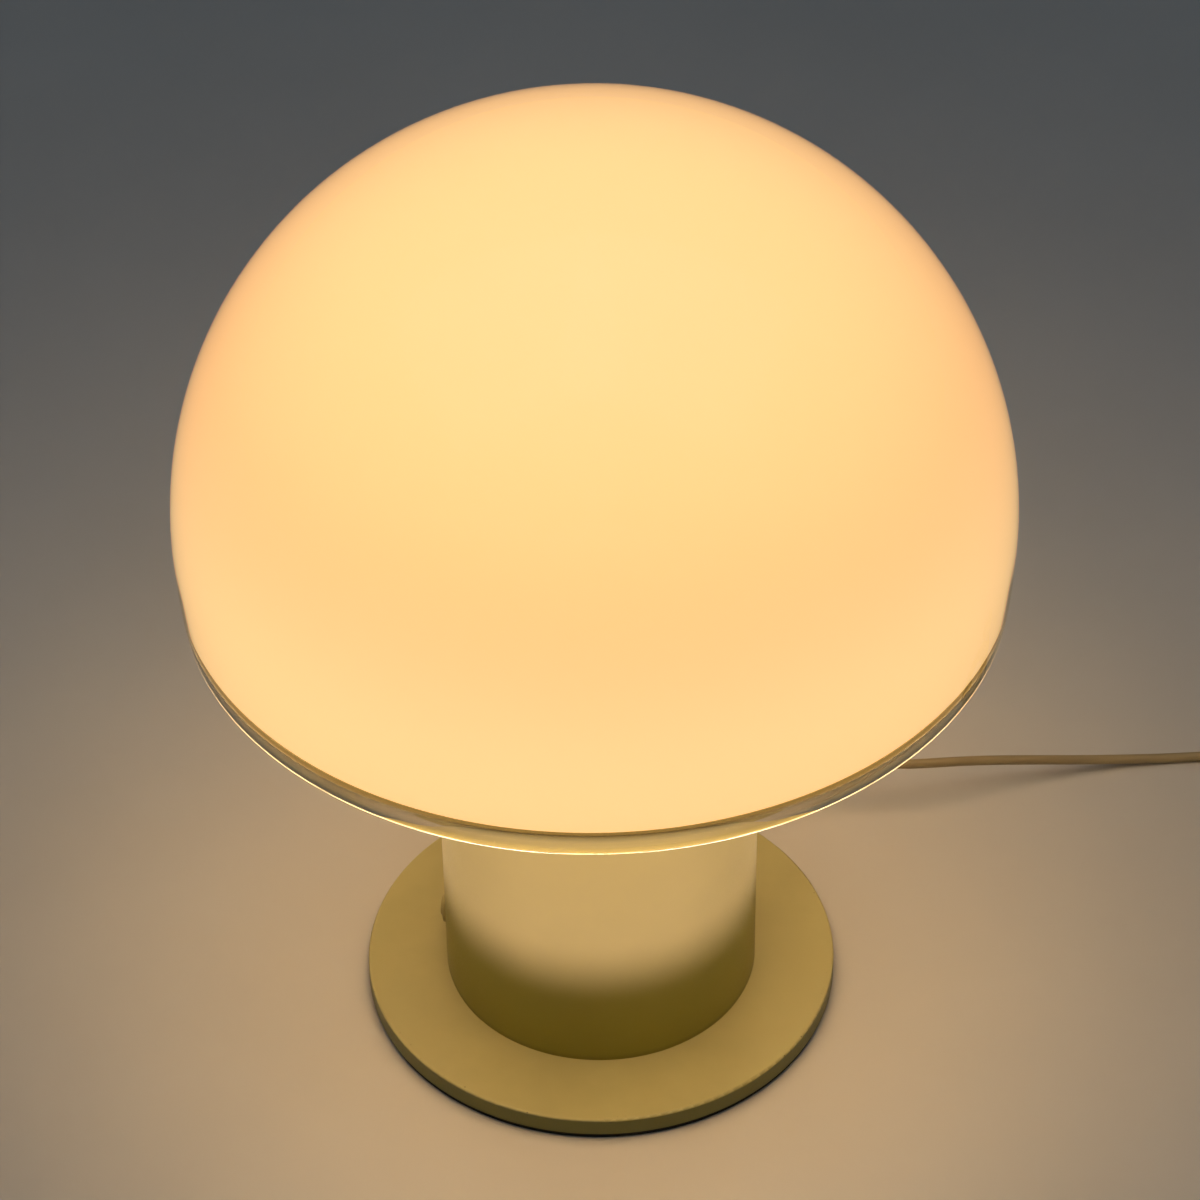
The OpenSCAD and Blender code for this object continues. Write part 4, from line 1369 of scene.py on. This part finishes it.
@dataclass
class LampSocket:
    """Lamp holder on one side with its bulb, which leans outwards with it."""

    side: Side
    middle_x: float = 0.02934
    middle_z: float = 0.27128
    lean: float = 10.0
    height: float = 0.046
    floor: float = 0.012
    radius: float = 0.019
    foot_radius: float = 0.015
    shoulder: float = 0.006
    bore: float = 0.01505
    nipple_bore: float = 0.00505
    nipple_depth: float = 0.00805
    ribs: int = 36
    bulb_seat: float = 0.019
    cap_radius: float = 0.0132
    cap_height: float = 0.027
    neck_radius: float = 0.014
    thread_from: float = 0.0072
    thread_to: float = 0.0236
    pitch: float = 0.00363
    thread_depth: float = 0.0008
    globe_at: float = 0.097
    ease: float = 0.0008
    skirt_foot: float = 0.003
    skirt_drop: float = 0.012
    groove: tuple[float, ...] = (0.009, 0.0086, 0.0076, 0.0072)
    groove_depth: float = 0.0006
    flute_edge: float = 0.0003
    flute_depth: float = 0.0004
    contact_face: float = 0.0040
    contact_radius: float = 0.0045
    contact_ease: float = 0.0004
    contact_height: float = 0.0016
    insulator_radius: float = 0.0080
    insulator_rise: float = 0.0040
    insulator_inset: float = 0.0008
    insulator_edge: float = 0.0060
    insulator_top: float = 0.0062
    sleeve_foot: float = 0.0058
    sleeve_inset: float = 0.001
    collar_flare: float = 0.0002
    collar_from: float = 0.0006
    collar_ease: float = 0.0003
    collar_drop: Span = (0.0022, 0.0016)

    @property
    def skirt(self) -> Span:
        """Lowest and highest part of the holder's fluted skirt."""
        return self.floor + self.skirt_foot, self.height - self.skirt_drop

    def along(self, far: float) -> Point:
        """A point of the holder's leaning axis.

        Args:
            far: How far along the axis it is.

        Returns:
            The point.
        """
        lean = math.radians(self.lean)
        out = self.side.value * (self.middle_x + far * math.sin(lean))
        return (out, 0.0, self.middle_z + far * math.cos(lean))

    def put(self, piece: Piece, far: float = 0.0) -> None:
        """Stands a piece on the bracket's wing, some way along the holder's axis."""
        settled(piece, self.along(far), (0.0, self.side.value * self.lean, 0.0))

    def build_holder(self) -> None:
        """Turns the holder and presses grip flutes into its skirt."""
        ease, notch = self.ease, self.radius - self.groove_depth
        foot, lower, upper, top = (self.height - drop for drop in self.groove)
        outline = [
            (0.0, self.nipple_depth), (self.nipple_bore, self.nipple_depth), (self.nipple_bore, 0.0),
            (self.foot_radius - ease, 0.0), (self.foot_radius, ease), (self.foot_radius, self.shoulder),
            (self.radius, self.floor), *((self.radius, height) for height in self.skirt),
            (self.radius, foot), (notch, lower), (notch, upper), (self.radius, top),
            (self.radius, self.height - ease), (self.radius - ease, self.height), (self.bore, self.height),
            (self.bore, self.floor), (0.0, self.floor),
        ]
        holder = turned(f"ribbed_holder_{self.side.word}", outline, steps=2 * self.ribs)
        low, high = self.skirt
        bpy.context.tool_settings.mesh_select_mode = (False, False, True)
        only(holder)
        for face in holder.data.polygons:
            out = Vector((face.center.x, face.center.y))
            around = math.floor(math.atan2(out.y, out.x) / (math.pi / self.ribs) + NEAR)
            outer = low < face.center.z < high and out.length > (self.bore + self.radius) / 2
            face.select = outer and around % 2 == 0
        bpy.ops.object.mode_set(mode="EDIT")
        bpy.ops.mesh.inset(thickness=self.flute_edge, use_individual=True)
        bpy.ops.transform.shrink_fatten(value=-self.flute_depth)
        cleaned(holder, crease=30.0)
        self.put(holder)
        dressed(holder, PHENOLIC, Body.STAND, "dark_plastic", f"lampholder_{self.side.word}")

    def build_thread(self) -> Piece:
        """Winds the cap's rounded thread and trims its ends square.

        Returns:
            The thread.
        """
        root, crest = self.cap_radius - self.thread_depth, self.cap_radius
        half = (root + crest) / 2
        wave = [(root, 0.0), (half, 0.2), (crest, 0.5), (half, 0.8), (root, 1.0)]
        thread = wire("thread", [(radius, 0.0, share * self.pitch) for radius, share in wave])
        bpy.ops.object.mode_set(mode="OBJECT")
        turns = math.ceil((self.thread_to - self.thread_from) / self.pitch) + 2
        modified(
            thread, "SCREW", screw_offset=self.pitch, iterations=turns, steps=48, render_steps=48,
            use_merge_vertices=True, merge_threshold=MERGE,
        )
        only(thread)
        bpy.ops.object.mode_set(mode="EDIT")
        bpy.ops.mesh.select_all(action="SELECT")
        bpy.ops.transform.translate(value=(0.0, 0.0, self.thread_from - self.pitch))
        for height, up in ((self.thread_from, -1.0), (self.thread_to, 1.0)):
            bpy.ops.mesh.select_all(action="SELECT")
            bpy.ops.mesh.bisect(plane_co=(0.0, 0.0, height), plane_no=(0.0, 0.0, up), clear_outer=True)
        cleaned(thread, crease=60.0)
        thread.data.materials.append(ALUMINIUM.material())
        return thread

    def build_cap(self) -> None:
        """Makes the bulb's cap: contact, insulator, thread and collar."""
        root = self.cap_radius - self.thread_depth
        under, over = (self.cap_height - drop for drop in self.collar_drop)
        contact_rim = [(self.contact_radius, self.contact_height), (0.0, self.contact_height)]
        contact = turned("contact", [
            (0.0, 0.0), (self.contact_face, 0.0), (self.contact_radius, self.contact_ease), *contact_rim,
        ], steps=40)
        insulator = turned("insulator", [
            *contact_rim[::-1], (self.insulator_radius, self.insulator_rise),
            (root - self.insulator_inset, self.insulator_edge), (0.0, self.insulator_top),
        ], steps=48)
        sleeve = turned("sleeve", [
            (0.0, self.sleeve_foot), (root - self.sleeve_inset, self.sleeve_foot), (root, self.thread_from),
            (root, self.thread_to), (root + self.collar_flare, self.thread_to + self.collar_from),
            (self.neck_radius - self.collar_ease, under), (self.neck_radius, over),
            (self.neck_radius, self.cap_height), (0.0, self.cap_height),
        ], steps=64)
        for piece, finish in ((contact, STEEL), (insulator, INSULATOR), (sleeve, ALUMINIUM)):
            piece.data.materials.append(finish.material())
        cap = joined(f"threaded_cap_{self.side.word}", sleeve, self.build_thread(), contact, insulator)
        self.put(cap, self.bulb_seat)
        dressed(cap, ALUMINIUM, self.side.bulb_body, "bulb_cap", f"bulb_cap_{self.side.word}")

    def build(self) -> None:
        """Makes the holder and the bulb on this side."""
        self.build_holder()
        self.build_cap()
        glass = FrostedBulb(f"frosted_bulb_{self.side.word}", globe=self.along(self.globe_at))
        carried(glass, f"bulb_glass_{self.side.word}")
        carried(BRASS, f"screw_shell_{self.side.word}", f"contact_{self.side.word}")


@dataclass
class Stand:
    """Base, column and the metal carrier that holds the shade, with the wiring inside."""

    lead_x: float = 0.02847
    lead_low: float = 0.0236
    lead_high: float = 0.2683
    core_radius: float = 0.00095
    lay: float = 0.022
    knots: int = 12

    def strand(self, side: Side, first: float) -> list[Point]:
        """The middle line of one core of a lead.

        Args:
            side: The lead's side.
            first: Angle round the lead at which the core starts.

        Returns:
            Its points.
        """
        count = round((self.lead_high - self.lead_low) / self.lay * self.knots)
        points = []
        for i in range(count + 1):
            angle = first + math.tau * i / self.knots
            x = side.value * self.lead_x + self.core_radius * math.cos(angle)
            z = self.lead_low + (self.lead_high - self.lead_low) * i / count
            points.append((x, self.core_radius * math.sin(angle), z))
        return points

    def build_leads(self) -> None:
        """Twists two cores into each lead."""
        strands = [self.strand(side, first) for side in Side for first in (0.0, math.pi)]
        leads = bent("twisted_leads", *strands, radius=self.core_radius, sides=2, steps=2)
        dressed(leads, SHEATH, Body.STAND, "cord_sheath", "leads")

    def dress(self) -> None:
        """Finishes the carried nodes of the stand."""
        carried(LACQUER, "base_disc")
        carried(PAD, "base_pad")
        carried(COLUMN, "column")
        carried(SWITCH, "switch_collar", "switch_button")
        carried(TUBE, "stem")
        carried(
            STEEL, "locating_ring", "ring_screws", "stem_nuts", "stem_washers", "carrier_hub", "carrier_arms",
            "socket_bracket", "holder_nipples", "block_screws", "switch_nut",
        )
        carried(TIPS, "carrier_tips", "lead_grommets")
        carried(IVORY, "terminal_blocks")
        carried(PHENOLIC, "switch_body")
        carried(SHEATH, "cord_bush")


def main() -> None:
    """Builds the studio and the lamp."""
    logging.basicConfig(level=logging.INFO, format="%(name)s: %(message)s")
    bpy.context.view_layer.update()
    studio = Studio()
    studio.build_camera()
    cord = MainsCord()
    plug = Plug(cord)
    plug.build()
    plug.build_strap()
    cord.build()
    stand = Stand()
    stand.dress()
    stand.build_leads()
    for side in Side:
        LampSocket(side).build()
    Shade().build()
    studio.build_floor()
    studio.build_light()
    studio.settle_view()
    alone()


if __name__ == "__main__":
    main()
